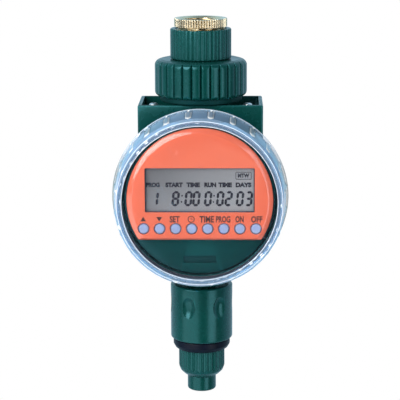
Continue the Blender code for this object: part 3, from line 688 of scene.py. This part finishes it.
def nut_shell():
    low, high = extent("swivel_nut")
    wide, hole, cavity = 24.2, 14.9, 17.1
    bottom, skirt, top = low.z, low.z + 2.6, high.z
    groove_phase = math.radians(-90 + 1.2) - math.pi / NUT_RIBS
    roof, relief = 64, cavity + 0.4
    outer = [(hole, roof, 0), (hole, top, 0.4), (20.6, top, 0.3), (21.2, top - 0.25, 0.3)]
    outer += [(wide, top - 0.4, 3.0), (wide, skirt, 2.4), (cavity + 0.8, skirt, 0.3)]
    outline = densified(rounded(outer, 9), 1.4)
    outline += thread_run(cavity, skirt + 0.6, roof - 1.5, NUT_PITCH)
    outline += [(relief, roof - 1.2), (relief, roof)]
    ribs = ribbed(wide, NUT_RIBS, 1.45, 0.24, groove_phase, 0.32)
    thread = thread_wave(cavity, 0.65, NUT_PITCH, False)
    shape = lathe(outline, NUT_RIBS * 18, surface=chained(ribs, thread))
    piece("nut_shell", shape, GREEN, "swivel_nut", "swivel_nut", sharp=32)
    inner, outer, top = cavity + 0.5, 21.6, skirt + 0.4
    ring = [(inner, bottom, 0.3), (outer, bottom, 0.5), (outer, top, 0), (inner, top, 0)]
    # Painted shade: the green nut's skirt takes the darker green, as it sits in the tray's shadow.
    piece("nut_skirt", lathe(rounded(ring, 4)), DARK_GREEN_AND_SHADE, "swivel_nut", slot="green_plastic")


def valve_thread():
    """The raised thread of the valve body, which the swivel nut runs on."""
    section = [(16.35, -0.85), (17.0, -0.2), (17.0, 0.2), (16.35, 0.85)]
    end = 3.4 * 2 * math.pi
    shape = coil(section, NUT_PITCH, 0, end, "Z", 96, 0.05, extent("valve_body")[1].z - 8.9)
    piece("valve_thread", shape, GREEN, "housing", slot="green_plastic")


brass_fitting()
tap_collar()
nut_shell()
valve_thread()


# -------------------- housing

WALL = 2.0
PARTING = 11.7
SCREW_HOLE_R = 1.3
NECK_HOLE_R = 15.5
TRAY_FLOOR = (38.4, 41.0)
TRAY_SCREWS = [(side * 24.6, -8.5) for side in (-1, 1)]
BACK_SCREWS = [(side * 27.8, z) for side in (-1, 1) for z in (-25.6, 35.9)]
LEAD = 12.0
STARTS = 3
LUG_TURN = math.radians(2)


def box_shell(name, node, low, high, tray_y):
    """Half of the box: an open tray above a closed chamber, with its long edges rounded."""
    inner = low.x + WALL, high.x - WALL
    obj = piece(name, block(low, high, 0.8), GREEN, "housing", node)
    cut(obj, block((inner[0], tray_y[0], low.z + WALL), (inner[1], tray_y[1], TRAY_FLOOR[0]), 0.5))
    tray = block((inner[0] + 0.1, tray_y[0], TRAY_FLOOR[1]), (inner[1] - 0.1, tray_y[1], high.z + 14), 0.5)
    cut(obj, tray)
    return obj


def front_shell():
    front = extent("front_housing")[0].y
    box_low = Vector((-32.5, -18, -30))
    box_high = Vector((32.5, 24, 46.1))
    obj = box_shell("front_shell", "front_housing", box_low, box_high, (-16.1, 40))
    soften(obj, 0.3)
    cut(obj, block((-40, PARTING, -40), (40, 60, 60)))
    drum = [(0, -17.4, 0), (43.4, -17.4, 0.8), (43.4, -24.9, 0.7), (41.0, -24.9, 0.3), (41.0, front, 0.5)]
    drum += [(39.6, front, 0.4), (39.6, -20.5, 0.4), (0, -20.5, 0)]
    join(obj, lathe(rounded(drum, 4), FINE, "Y"))
    cut(obj, block((-13.8, -22, -22.4), (30.4, -15, 21.7)))
    for x, z in BACK_SCREWS:
        start = -3.5 if z > 0 else -17
        join(obj, block((x - 3.3, start, z - 3), (x + 3.3, PARTING - 0.3, z + 3), 0.2))
        cut(obj, rod(SCREW_HOLE_R, 3, 13, "Y", (x, z)))
    for place in TRAY_SCREWS:
        join(obj, rod(3.2, 40, 44.0, centre=place, edge=0.25))
        cut(obj, rod(1.4, 37, 45.5, centre=place))
    cut(obj, rod(NECK_HOLE_R, 37, 42, segments=ROUND), rod(10.4, -31, -27, segments=ROUND))
    section = [(40.6, -0.95), (42.2, -0.75), (42.4, -0.5), (42.4, 0.5), (42.2, 0.75), (40.6, 0.95)]
    for start in range(STARTS):
        turn = LUG_TURN + 2 * math.pi * start / STARTS
        join(obj, coil(section, -LEAD, turn, turn + math.radians(60), "Y", 120, 0.07, -33.4))
    smooth(obj, 32)


def rear_shell():
    low, high = extent("rear_housing")
    box_low = Vector((low.x, -10, low.z))
    obj = box_shell("rear_shell", "rear_housing", box_low, high, (-20, high.y - WALL))
    soften(obj, 0.3)
    cut(obj, block((-40, -40, -40), (40, low.y, 60)))
    cut(obj, rod(NECK_HOLE_R, 37, 42, segments=ROUND))
    for x, z in BACK_SCREWS:
        join(obj, block((x - 3.3, low.y + 0.3, z - 3), (x + 3.3, high.y - 1, z + 3), 0.2))
        flared = [(0, 15.7), (2.9, 15.7), (2.9, high.y - 0.3), (3.25, high.y + 0.05), (3.25, 21), (0, 21)]
        cut(obj, rod(SCREW_HOLE_R, 10, 20, "Y", (x, z)), lathe(flared, COARSE, "Y", (x, z)))
    smooth(obj, 32)


front_shell()
rear_shell()
for number in (1, 2):
    screw(f"valve_screw_{number}", "Z", 1.8, 2.4)
    screw(f"module_screw_{number}", "Y", 1.2, 2.0)
for number in (1, 2, 3, 4):
    screw(f"back_screw_{number}", "Y", 1.4, 2.4)


# -------------------- timer module

PLATE_R = 37.5
PLATE_FRONT = -40.0
CHORD = -20.4
KEYS = 8
KEY_PITCH = 8.21
KEY_Z = -14.3
LABEL_Z = (-10.9, -7.5)
OPENING_LOW = Vector((-28.0, 0, -5.7))
OPENING_HIGH = Vector((28.0, 0, 17.3))
SLANT = 0.1


def chord_outline(radius, chord, corner=1.2, steps=120):
    """A disc with its lower part cut off along a chord, whose two corners are rounded."""
    inside = radius - corner
    height = chord + corner
    lean = math.asin(-height / inside)
    across = inside * math.cos(lean)
    points = [polar(radius, -lean + (math.pi + 2 * lean) * step / steps) for step in range(steps + 1)]
    for side, start, end in ((-1, math.pi + lean, 1.5 * math.pi), (1, -0.5 * math.pi, -lean)):
        for step in range(9):
            angle = start + (end - start) * step / 8
            points.append((side * across + corner * math.cos(angle), height + corner * math.sin(angle)))
    return points


def face_moulding():
    low, high = extent("module_face")
    radius, front, back = radius_of("module_face"), low.y, high.y
    outline = [(0, front, 0), (radius, front, 0.6), (radius, -30.1, 0.15), (37.7, -30.1, 0), (37.7, -28.3, 0)]
    outline += [(radius, -28.3, 0.15), (radius, back, 0.2), (36.4, back, 0.2), (36.4, front + WALL, 0.3)]
    outline += [(0, front + WALL, 0)]
    shape = lathe(rounded(outline, 4), FINE, "Y")
    obj = piece("face_moulding", shape, GLOSSY_GREEN, "housing", "module_face")
    for z in (-27.5, 27.5):
        join(obj, rod(2.5, -35, -26.3, "Y", (0, z), edge=0.2))
        cut(obj, rod(SCREW_HOLE_R, -32, -25, "Y", (0, z)))
    finger_slot = block((-8.5, -37.5, -33.2), (8.5, front + 1.2, -29.4), 0.5)
    cut(obj, block((-31.8, -37, -18.3), (31.8, -33, 18.6)), finger_slot)
    smooth(obj, 32)
    # Painted shade: a thin dark sheet laid on the finger slot's floor.
    floor = block((-8.2, front + 1.1, -33.0), (8.2, front + 1.25, -29.6), 0.05)
    piece("slot_painted_shade", floor, DARK_GREEN_AND_SHADE, "housing", slot="dark_green")


def keypad_plate():
    back = extent("faceplate")[1].y
    front = PLATE_FRONT
    bevel = [(0.25, back), (0, back - 0.25), (0, front + 1.85), (0.12, front + 1.52), (0.5, front + 1.22)]
    bevel += [(2.25, front + 0.2), (2.65, front + 0.04), (3.0, front)]
    layers = []
    for inset, y in bevel:
        chord_inset = min(inset, 1.1) if inset > 0.3 else inset
        layers.append((chord_outline(PLATE_R - inset, CHORD + chord_inset), y))
    shape = bmesh.new()
    add_loft(shape, layers)
    obj = piece("keypad_plate", shape, ORANGE, "housing", "faceplate", sharp=40)
    through, behind = Vector((0, -42, 0)), Vector((0, -35, 0))
    cut(obj, block(OPENING_LOW + through, OPENING_HIGH + behind, 0.7))
    cut(obj, block((-29.6, -38, -7.2), (29.6, -36, 18.8)), block((-32.1, -38.4, -17.7), (32.1, -36, -10.9)))
    hole = [(0, -41), (3.35, -41), (3.25, front - 0.02), (2.95, front + 0.3), (2.95, -37), (0, -37)]
    for number in range(KEYS):
        cut(obj, lathe(hole, 48, "Y", ((number - (KEYS - 1) / 2) * KEY_PITCH, KEY_Z)))
    smooth(obj, 38)


def keys():
    for number in range(1, KEYS + 1):
        low, high = extent(f"button_{number}")
        place = ((low.x + high.x) / 2, (low.z + high.z) / 2)
        front, back = low.y, high.y
        outline = [(0, front + 0.16), (0.9, front + 0.11), (1.6, front + 0.02), (1.95, front + 0.02)]
        outline += [(2.25, front + 0.12), (2.46, front + 0.35), (2.55, front + 0.75), (2.55, back - 0.95)]
        outline += [(2.7, back - 0.74), (3.1, back - 0.7), (3.2, back - 0.6), (3.2, back), (0, back)]
        shape = lathe(outline, 64, "Y", place)
        piece(f"key_{number}", shape, SILICONE, f"button_{number}", f"button_{number}", sharp=50)


SEGMENTS = {"1": "bc", "8": "abcdefg", "0": "abcdef", "2": "abged", "3": "abgcd"}


def bar(shape, start, end, width, front, back):
    """A flat bar with pointed ends between two (x, z) points, leaned by the slant."""
    start, end = Vector(start), Vector(end)
    run = (end - start).normalized()
    side = Vector((-run.y, run.x)) * width / 2
    tip = run * width / 2
    outline = [start, start + tip + side, end - tip + side, end, end - tip - side, start + tip - side]
    leaned = [(point.x + SLANT * point.y, point.y) for point in outline]
    add_loft(shape, [(leaned, front), (leaned, back)])


def digit(shape, symbol, left, low, high, front, back):
    """One seven-segment figure in its box of x and z."""
    width, gap = 1.25, 0.08
    right = left + 3.9
    middle = (low + high) / 2
    left, right = left + width / 2, right - width / 2
    bottom, top = low + width / 2, high - width / 2
    places = {
        "a": ((left + gap, top), (right - gap, top)),
        "b": ((right, middle + gap), (right, top - gap)),
        "c": ((right, bottom + gap), (right, middle - gap)),
        "d": ((left + gap, bottom), (right - gap, bottom)),
        "e": ((left, bottom + gap), (left, middle - gap)),
        "f": ((left, middle + gap), (left, top - gap)),
        "g": ((left + gap, middle), (right - gap, middle)),
    }
    for name in SEGMENTS[symbol]:
        bar(shape, *places[name], width, front, back)


def word(shape, text, left, right, low, high, front, back, bold=0.03):
    """Plain lettering that fills a box of x and z, between the depths front and back."""
    curve = bpy.data.curves.new("word", "FONT")
    curve.body = text
    curve.extrude = 0.02
    curve.offset = bold
    curve.resolution_u = 3
    holder = bpy.data.objects.new("word", curve)
    bpy.context.scene.collection.objects.link(holder)
    bpy.context.view_layer.update()
    graph = bpy.context.evaluated_depsgraph_get()
    mesh = bpy.data.meshes.new_from_object(holder.evaluated_get(graph))
    bpy.data.objects.remove(holder)
    least, most = ([pick(v.co[axis] for v in mesh.vertices) for axis in range(3)] for pick in (min, max))
    for v in mesh.vertices:
        across, up, out = ((v.co[axis] - least[axis]) / (most[axis] - least[axis]) for axis in range(3))
        v.co = (left + (right - left) * across, back + (front - back) * out, low + (high - low) * up)
    shape.from_mesh(mesh)
    bpy.data.meshes.remove(mesh)


def display():
    low, high = extent("lcd_glass")
    piece("display_panel", block(low, high, 0.15, 2), DISPLAY, "housing", "lcd_glass", sharp=30)
    border = bmesh.new()
    wide, bottom, top = OPENING_HIGH.x, OPENING_LOW.z, OPENING_HIGH.z
    front, back = low.y - 0.07, low.y + 0.05
    for x in (-1, 1):
        sides = sorted((x * (wide + 0.6), x * (wide - 0.5)))
        add_block(border, (sides[0], front, bottom - 0.4), (sides[1], back, top + 0.4))
    for z0, z1 in ((bottom - 0.5, bottom + 0.3), (top - 0.3, top + 0.5)):
        add_block(border, (0.5 - wide, front, z0), (wide - 0.5, back, z1))
    piece("display_border", border, BLACK_PLASTIC, "housing", slot="lcd")
    display_figures(low.y - 0.06, low.y + 0.02)
    display_words(low.y - 0.06, low.y + 0.02)
    pane = block(*extent("display_window"), 0.25)
    piece("display_pane", pane, WINDOW, "housing", "display_window", sharp=30)


def display_figures(front, back):
    figures = bmesh.new()
    places = [("1", -25.1), ("8", -14.4), ("0", -7.8), ("0", -3.8), ("0", 2.2), ("0", 8.4), ("2", 12.7)]
    places += [("0", 18.5), ("3", 23.0)]
    for symbol, left in places:
        digit(figures, symbol, left, -2.9, 5.0, front, back)
    for x in (-9.3, 7.0):
        for z in (-0.6, 2.6):
            lean = SLANT * z
            add_block(figures, (x - 0.35 + lean, front, z - 0.4), (x + 0.35 + lean, back, z + 0.4))
    piece("display_figures", figures, SEGMENT, "housing", slot="lcd", sharp=30)


def display_words(front, back):
    words = bmesh.new()
    spans = [("PROG", -27.4, -20.4), ("START", -17.5, -8.6), ("TIME", -6.8, 0.1), ("RUN", 2.3, 8.4)]
    spans += [("TIME", 9.5, 16.4), ("DAYS", 18.3, 26.3)]
    for text, left, right in spans:
        word(words, text, left, right, 7.0, 9.5, front, back, 0.07)
    word(words, "MTW", 19.4, 25.3, 12.0, 14.2, front, back, 0.06)
    for z in (11.2, 14.8):
        add_block(words, (18.4, front, z - 0.15), (26.2, back, z + 0.15))
    for x in (18.4, 26.2):
        add_block(words, (x - 0.15, front, 11.4), (x + 0.15, back, 14.6))
    piece("display_words", words, SEGMENT, "housing", slot="lcd", sharp=30)


def key_labels():
    """The marks printed over the keys: arrows, a clock and plain function words."""
    marks = bmesh.new()
    front, back = PLATE_FRONT - 0.05, PLATE_FRONT + 0.03
    low, high = LABEL_Z
    middle = (low + high) / 2
    for centre, tip in ((-28.9, 1), (-20.7, -1)):
        base = middle - tip * 1.15
        arrow = [(centre - 1.45, base), (centre + 1.45, base), (centre, middle + tip * 1.3)]
        add_loft(marks, [(arrow, front), (arrow, back)])
    spans = [("SET", -15.4, -10.2), ("TIME", -0.1, 7.3), ("PROG", 8.2, 15.6), ("ON", 18.2, 22.4)]
    spans += [("OFF", 26.2, 32.0)]
    for text, left, right in spans:
        word(marks, text, left, right, low, high, front, back, 0.035)
    ring = [(1.35, front), (1.8, front), (1.8, back), (1.35, back)]
    clock = mesh_from("clock", lathe(ring, 40, "Y", (-4.4, middle)))
    marks.from_mesh(clock)
    bpy.data.meshes.remove(clock)
    add_block(marks, (-4.55, front, middle - 0.15), (-4.25, back, middle + 1.0))
    add_block(marks, (-4.25, front, middle - 0.15), (-3.5, back, middle + 0.15))
    piece("key_marks", marks, INK, "housing", slot="dark_green", sharp=30)


DISPLAY = display_film("display_reflector", OPENING_HIGH.x, -6, 17)
face_moulding()
keypad_plate()
keys()
display()
key_labels()


# -------------------- lid

LID_RIBS = 24
LID_RIB_DEPTH = 0.5
LID_SIDE_R = 44.9


def lid_shell():
    low, high = extent("lid")
    back, front = high.y, low.y
    rim, shoulder = radius_of("lid"), LID_SIDE_R - LID_RIB_DEPTH
    outer = [(43.5, back, 0.2), (rim, back, 0.35), (rim, back - 1.35, 0.5), (shoulder, back - 1.35, 0.5)]
    outer += [(43.5, front + 1.7, 0.9), (42.4, front, 0.5), (41.5, front, 0.2), (41.2, front + 0.6, 0.15)]
    outer += [(40.5, front + 0.6, 0.15), (40.2, front, 0.15), (39.7, front, 0.15), (39.4, front + 1, 0.2)]
    outer += [(0, front + 1, 0), (0, -43.4, 0), (41.4, -43.4, 0.5), (42.8, -38.6, 0.4), (43.2, -33, 0)]
    outline = rounded(outer, 5)
    obj = piece("lid_shell", lathe(outline, FINE, "Y"), CLEAR, "lid", "lid", sharp=35)
    section = [(43.6, -0.8), (41.7, -0.65), (41.5, -0.4), (41.5, 0.4), (41.7, 0.65), (43.6, 0.8)]
    for start in range(STARTS):
        turn = LUG_TURN + 2 * math.pi * start / STARTS
        join(obj, coil(section, -LEAD, turn, turn + math.radians(50), "Y", 120, 0.07, -31.4))
    ribs = bmesh.new()
    for number in range(LID_RIBS):
        lid_rib(ribs, math.pi / 2 + (number + 0.5) * 2 * math.pi / LID_RIBS, back - 1.2, front + 1.9)
    join(obj, ribs)
    smooth(obj, 30)


def lid_rib(shape, turn, back, front):
    """A grip rib along the lid's side: a raised bar with a round front end."""
    half = math.radians(2.1)
    rows, columns = 10, 8
    rings = []
    for row in range(rows + 1):
        share = row / rows
        y = back - (back - front) * share
        lift = LID_SIDE_R - share
        end = max(0.0, 1 - max(0.0, (share - 0.8) / 0.2) ** 2) ** 0.5
        top, under = [], []
        for column in range(columns + 1):
            offset = -1 + 2 * column / columns
            height = (1 - abs(offset) ** 2.5) * LID_RIB_DEPTH * max(0.15, end)
            angle = turn + half * max(0.12, end) * offset
            top.append(along("Y", *polar(lift - LID_RIB_DEPTH * 0.8 + height, angle), y))
            under.append(along("Y", *polar(lift - LID_RIB_DEPTH - 0.5, angle), y))
        rings.append([shape.verts.new(point) for point in top + under[::-1]])
    skin(shape, rings)


def lit_edges():
    """Pale opaque rings on the two edges of the bezel: a painted highlight all round."""
    front = extent("lid")[0].y
    for number, radius in enumerate((39.75, 42.15), 1):
        ring = [(radius - 0.16, front + 0.2), (radius - 0.1, front - 0.03), (radius + 0.1, front - 0.03)]
        shape = lathe(ring + [(radius + 0.16, front + 0.2)], FINE, "Y")
        piece(f"lit_edge_{number}", shape, LIT_EDGE, "lid", slot="clear_plastic")


def lid_gasket():
    low, high = extent("lid_seal")
    inner, outer = 39.9, radius_of("lid_seal")
    corners = [(inner, low.y, 0.3), (outer, low.y, 0.3), (outer, high.y, 0.3), (inner, high.y, 0.3)]
    piece("lid_gasket", lathe(rounded(corners, 4), FINE, "Y"), RUBBER, "lid_carrier", "lid_seal")


lid_shell()
lit_edges()
lid_gasket()


# -------------------- outlet

SLEEVE_DIMPLES = 6
SOCKET_FLUTES = 54
CAP_FLUTES = 28
HOSE_PITCH = 2.5


def outlet_socket():
    low, high = extent("outlet_nipple")
    wall, bottom = radius_of("outlet_nipple"), low.z
    outer = [(5.0, bottom, 0.3), (7.4, bottom, 0.3), (8.0, bottom + 1.0, 0.3), (8.0, -64, 0), (6.9, -64, 0.3)]
    outer += [(6.9, -61.8, 0.3), (8.0, -61.8, 0.15), (8.0, -52, 0.8), (wall, -52, 0.7), (wall, high.z, 0.5)]
    outer += [(13.6, high.z, 0.3), (13.6, -48, 0.3), (5.0, -48, 0.3)]
    outline = densified(rounded(outer, 5), 1.5)
    flutes = between(-52.1, -43, ribbed(wall, SOCKET_FLUTES, 0.42, 0.6))
    shape = lathe(outline, SOCKET_FLUTES * 8, surface=flutes)
    piece("outlet_socket", shape, GREEN, "housing", "outlet_nipple", sharp=28)


def connector_body():
    top, bottom = -54.0, -106.0
    outer = [(9.1, top, 0.3), (12.9, top, 0.5), (12.9, -78.2, 0.2), (15.1, -78.2, 0.4), (15.1, -82.6, 0.3)]
    outer += [(10.2, -82.6, 0)]
    outline = rounded(outer, 4)
    outline += [(9.5, -83.0), (9.5, -88.6)] + thread_run(10.2, -88.8, -96.4, HOSE_PITCH) + [(9.4, -97)]
    barb = [(4.0, -97)]
    for step in range(4):
        ridge = -98.2 - 2.2 * step
        barb += [(3.9, ridge + 0.1), (4.2, ridge), (3.75, ridge - 1.9)]
    outline += barb + [(3.4, bottom), (2.8, bottom), (2.8, -72), (9.1, -70.5)]
    shape = lathe(outline, ROUND, surface=thread_wave(10.2, 0.75, HOSE_PITCH))
    piece("connector_body", shape, GREEN, "connector", "connector_core", sharp=28)


def sleeve_shell():
    low, high = extent("connector_sleeve")
    wall, top, bottom = radius_of("connector_sleeve"), high.z, low.z
    outer = [(13.5, top, 0.4), (wall, top, 1.1), (wall, bottom, 0.9), (15.6, bottom, 0.3), (15.6, -74, 0.2)]
    outer += [(13.5, -74, 0.2)]
    shape = lathe(densified(rounded(outer, 6), 2.5), FINE)
    obj = piece("sleeve_shell", shape, GREEN, "connector_sleeve", "connector_sleeve", sharp=35)
    for number in range(SLEEVE_DIMPLES):
        turn = math.radians(-54 + 60 * number)
        dimple = bmesh.new()
        bmesh.ops.create_uvsphere(dimple, u_segments=96, v_segments=64, radius=1)
        bmesh.ops.scale(dimple, verts=dimple.verts, vec=(6.2, 6.2, 8.6))
        bmesh.ops.translate(dimple, verts=dimple.verts, vec=(*polar(21.15, turn), -63.6))
        cut(obj, dimple)
    smooth(obj, 30)


def lock_ring():
    outline = [(10.6, -82.95, 0.2), (14.6, -82.95, 0.4), (15.3, -84.0, 0.5), (15.3, -86.6, 0.8)]
    outline += [(14.3, -88.4, 0.6), (13.4, -89.0, 0.2), (12.9, -89.0, 0.15), (12.5, -86.6, 0.3)]
    outline += [(10.6, -86.6, 0.2)]
    piece("lock_ring", lathe(rounded(outline, 5), ROUND), NAVY, "connector", "connector_ring")


def hose_cap():
    """The hose nut: a fluted grip, a taper where the flutes run out, and a plain rounded nose."""
    low, high = extent("hose_nut")
    wall, top, bottom = radius_of("hose_nut"), high.z, low.z
    outer = [(10.6, top, 0.2), (11.7, top, 0.3), (wall, top - 0.9, 0.5), (wall, -99.2, 1.6)]
    outer += [(11.5, -101.6, 1.8), (9.6, -103.5, 1.6), (7.7, -104.7, 0.5), (7.7, bottom, 0.9)]
    outer += [(6.8, bottom, 0.3), (6.8, -102.4, 0.3)]
    outline = densified(rounded(outer, 6), 0.6)
    outline += thread_run(10.6, -98.6, top - 0.8, HOSE_PITCH)
    flutes = ribbed(wall, CAP_FLUTES, 0.45, 0.6, 0, 0.12)
    thread = thread_wave(10.6, 0.5, HOSE_PITCH, False)
    shape = lathe(outline, CAP_FLUTES * 14, surface=chained(flutes, thread))
    piece("hose_cap", shape, GREEN, "hose_nut", "hose_nut", sharp=30)


def collet():
    """The grip collet: a flange with eight springy fingers that point down the hose."""
    low, high = extent("grip_collet")
    top, bottom = high.z, low.z
    outer = [(5.6, top, 0.2), (8.6, top, 0.3), (8.6, top - 1.1, 0.3), (6.4, top - 2.2, 0.2)]
    outer += [(6.4, bottom, 0.3), (5.6, bottom, 0.1)]
    obj = piece("collet_fingers", lathe(rounded(outer, 4), ROUND), ACETAL, "grip_collet", "grip_collet")
    for number in range(4):
        turn = math.pi * number / 4
        slit = block((-9, -0.45, bottom - 1), (9, 0.45, top - 3.2))
        bmesh.ops.rotate(slit, verts=slit.verts, cent=(0, 0, 0), matrix=Matrix.Rotation(turn, 3, "Z"))
        cut(obj, slit)
    smooth(obj, 30)


outlet_socket()
connector_body()
sleeve_shell()
lock_ring()
hose_cap()
collet()


# -------------------- carried-over CAD nodes

FINISHES = {
    "green_plastic": GREEN,
    "dark_green": DARK_GREEN_AND_SHADE,
    "orange_plastic": ORANGE,
    "clear_plastic": WINDOW,
    "brass": BRASS,
    "steel": STEEL,
    "rubber": RUBBER,
    "silicone": SILICONE,
    "white_plastic": ACETAL,
    "lcd": BLACK_PLASTIC,
    "board": BOARD,
    "battery": BATTERY,
}

for name, slot in SLOTS.items():
    node = frame["nodes"][name]
    if not node.hide_render:
        node.data.materials.clear()
        node.data.materials.append(FINISHES[slot])


# -------------------- floor, light and camera

FLOOR_DROP = 260
FLOOR_SIZE = 30
FILL = 0.2
LIGHT_DISTANCE = 1.3


def pale_floor():
    """A near-white floor well below the hanging part, kept out of reflections, which the world supplies."""
    shape = bmesh.new()
    bmesh.ops.create_grid(shape, x_segments=1, y_segments=1, size=FLOOR_SIZE / 2)
    floor = bpy.data.objects.new("floor", mesh_from("floor", shape))
    floor.location.z = cad_box[0].z - FLOOR_DROP * MM
    bpy.context.scene.collection.objects.link(floor)
    n = Nodes("pale_floor")
    n.set(Base_Color=n.mixed(n.noise(3, 2.0), (0.90, 0.90, 0.90), (0.93, 0.93, 0.93)), Roughness=0.9)
    glow = n.add("ShaderNodeEmission", {"Strength": 1.0}).outputs[0]
    n.show(n.blended(n.ray("Camera"), n.shader.outputs[0], glow))
    floor.data.materials.append(n.material)
    floor.visible_glossy = False


def studio_world():
    """White for the camera and as soft fill. Reflections are pale blue behind and below, dark in front."""
    world = bpy.data.worlds.new("studio")
    world.use_nodes = True
    n = Graph(world.node_tree)
    direction = n.along_axes(n.add("ShaderNodeTexCoord").outputs["Generated"])
    behind = n.ranged(direction["Y"], 0.03, 0.95, -0.55, 0.45, "SMOOTHSTEP")
    below = n.ranged(direction["Z"], 0.0, 1.0, -0.55, -0.85, "SMOOTHSTEP")
    mirrored = n.math("MAXIMUM", behind, below)
    strengths = {0: n.ray("Glossy"), 2: FILL, 3: mirrored}
    strength = n.add("ShaderNodeMix", strengths, data_type="FLOAT").outputs[0]
    background = n.tree.nodes["Background"].inputs
    n.put(n.math("MAXIMUM", n.ray("Camera"), strength), background["Strength"])
    n.put(n.mixed(n.ray("Glossy"), (1.0, 1.0, 1.0), (0.48, 0.74, 0.92)), background["Color"])
    bpy.context.scene.world = world


def softbox(name, azimuth, elevation, width, height, power):
    """A soft light that faces the part. Azimuth 0 is in front, and 90 is on the +X side."""
    light = bpy.data.lights.new(name, "AREA")
    light.shape = "RECTANGLE"
    light.size, light.size_y = width, height
    light.energy = power
    obj = bpy.data.objects.new(name, light)
    a, e = math.radians(azimuth), math.radians(elevation)
    away = Vector((math.sin(a) * math.cos(e), -math.cos(a) * math.cos(e), math.sin(e)))
    obj.location = CROSSING * MM + away * LIGHT_DISTANCE
    obj.rotation_euler = away.to_track_quat("Z", "Y").to_euler()
    bpy.context.scene.collection.objects.link(obj)


pale_floor()
studio_world()
softbox("key_left", -38, 27, 1.0, 1.08, 23)
softbox("edge_right", 40, 0, 0.67, 1.6, 9)
softbox("bounce_left", -42, -28, 1.5, 1.0, 8)

AIM = (CROSSING + Vector((-0.68, 0, -7.65))) * MM
DISTANCE = 840 * MM
AZIMUTH = math.radians(1.2)
ELEVATION = math.radians(12.0)
ROLL = math.radians(-0.2)

camera = bpy.data.objects.new("camera", bpy.data.cameras.new("camera"))
camera.data.sensor_width = 36
camera.data.lens = 141.3
camera.data.clip_start = 0.05
away = Vector((math.sin(AZIMUTH), -math.cos(AZIMUTH), math.tan(ELEVATION))).normalized()
camera.location = AIM + away * DISTANCE
camera.rotation_euler = (away.to_track_quat("Z", "Y").to_matrix() @ Matrix.Rotation(ROLL, 3, "Z")).to_euler()
bpy.context.scene.collection.objects.link(camera)
bpy.context.scene.camera = camera
bpy.context.scene.view_settings.view_transform = "Standard"
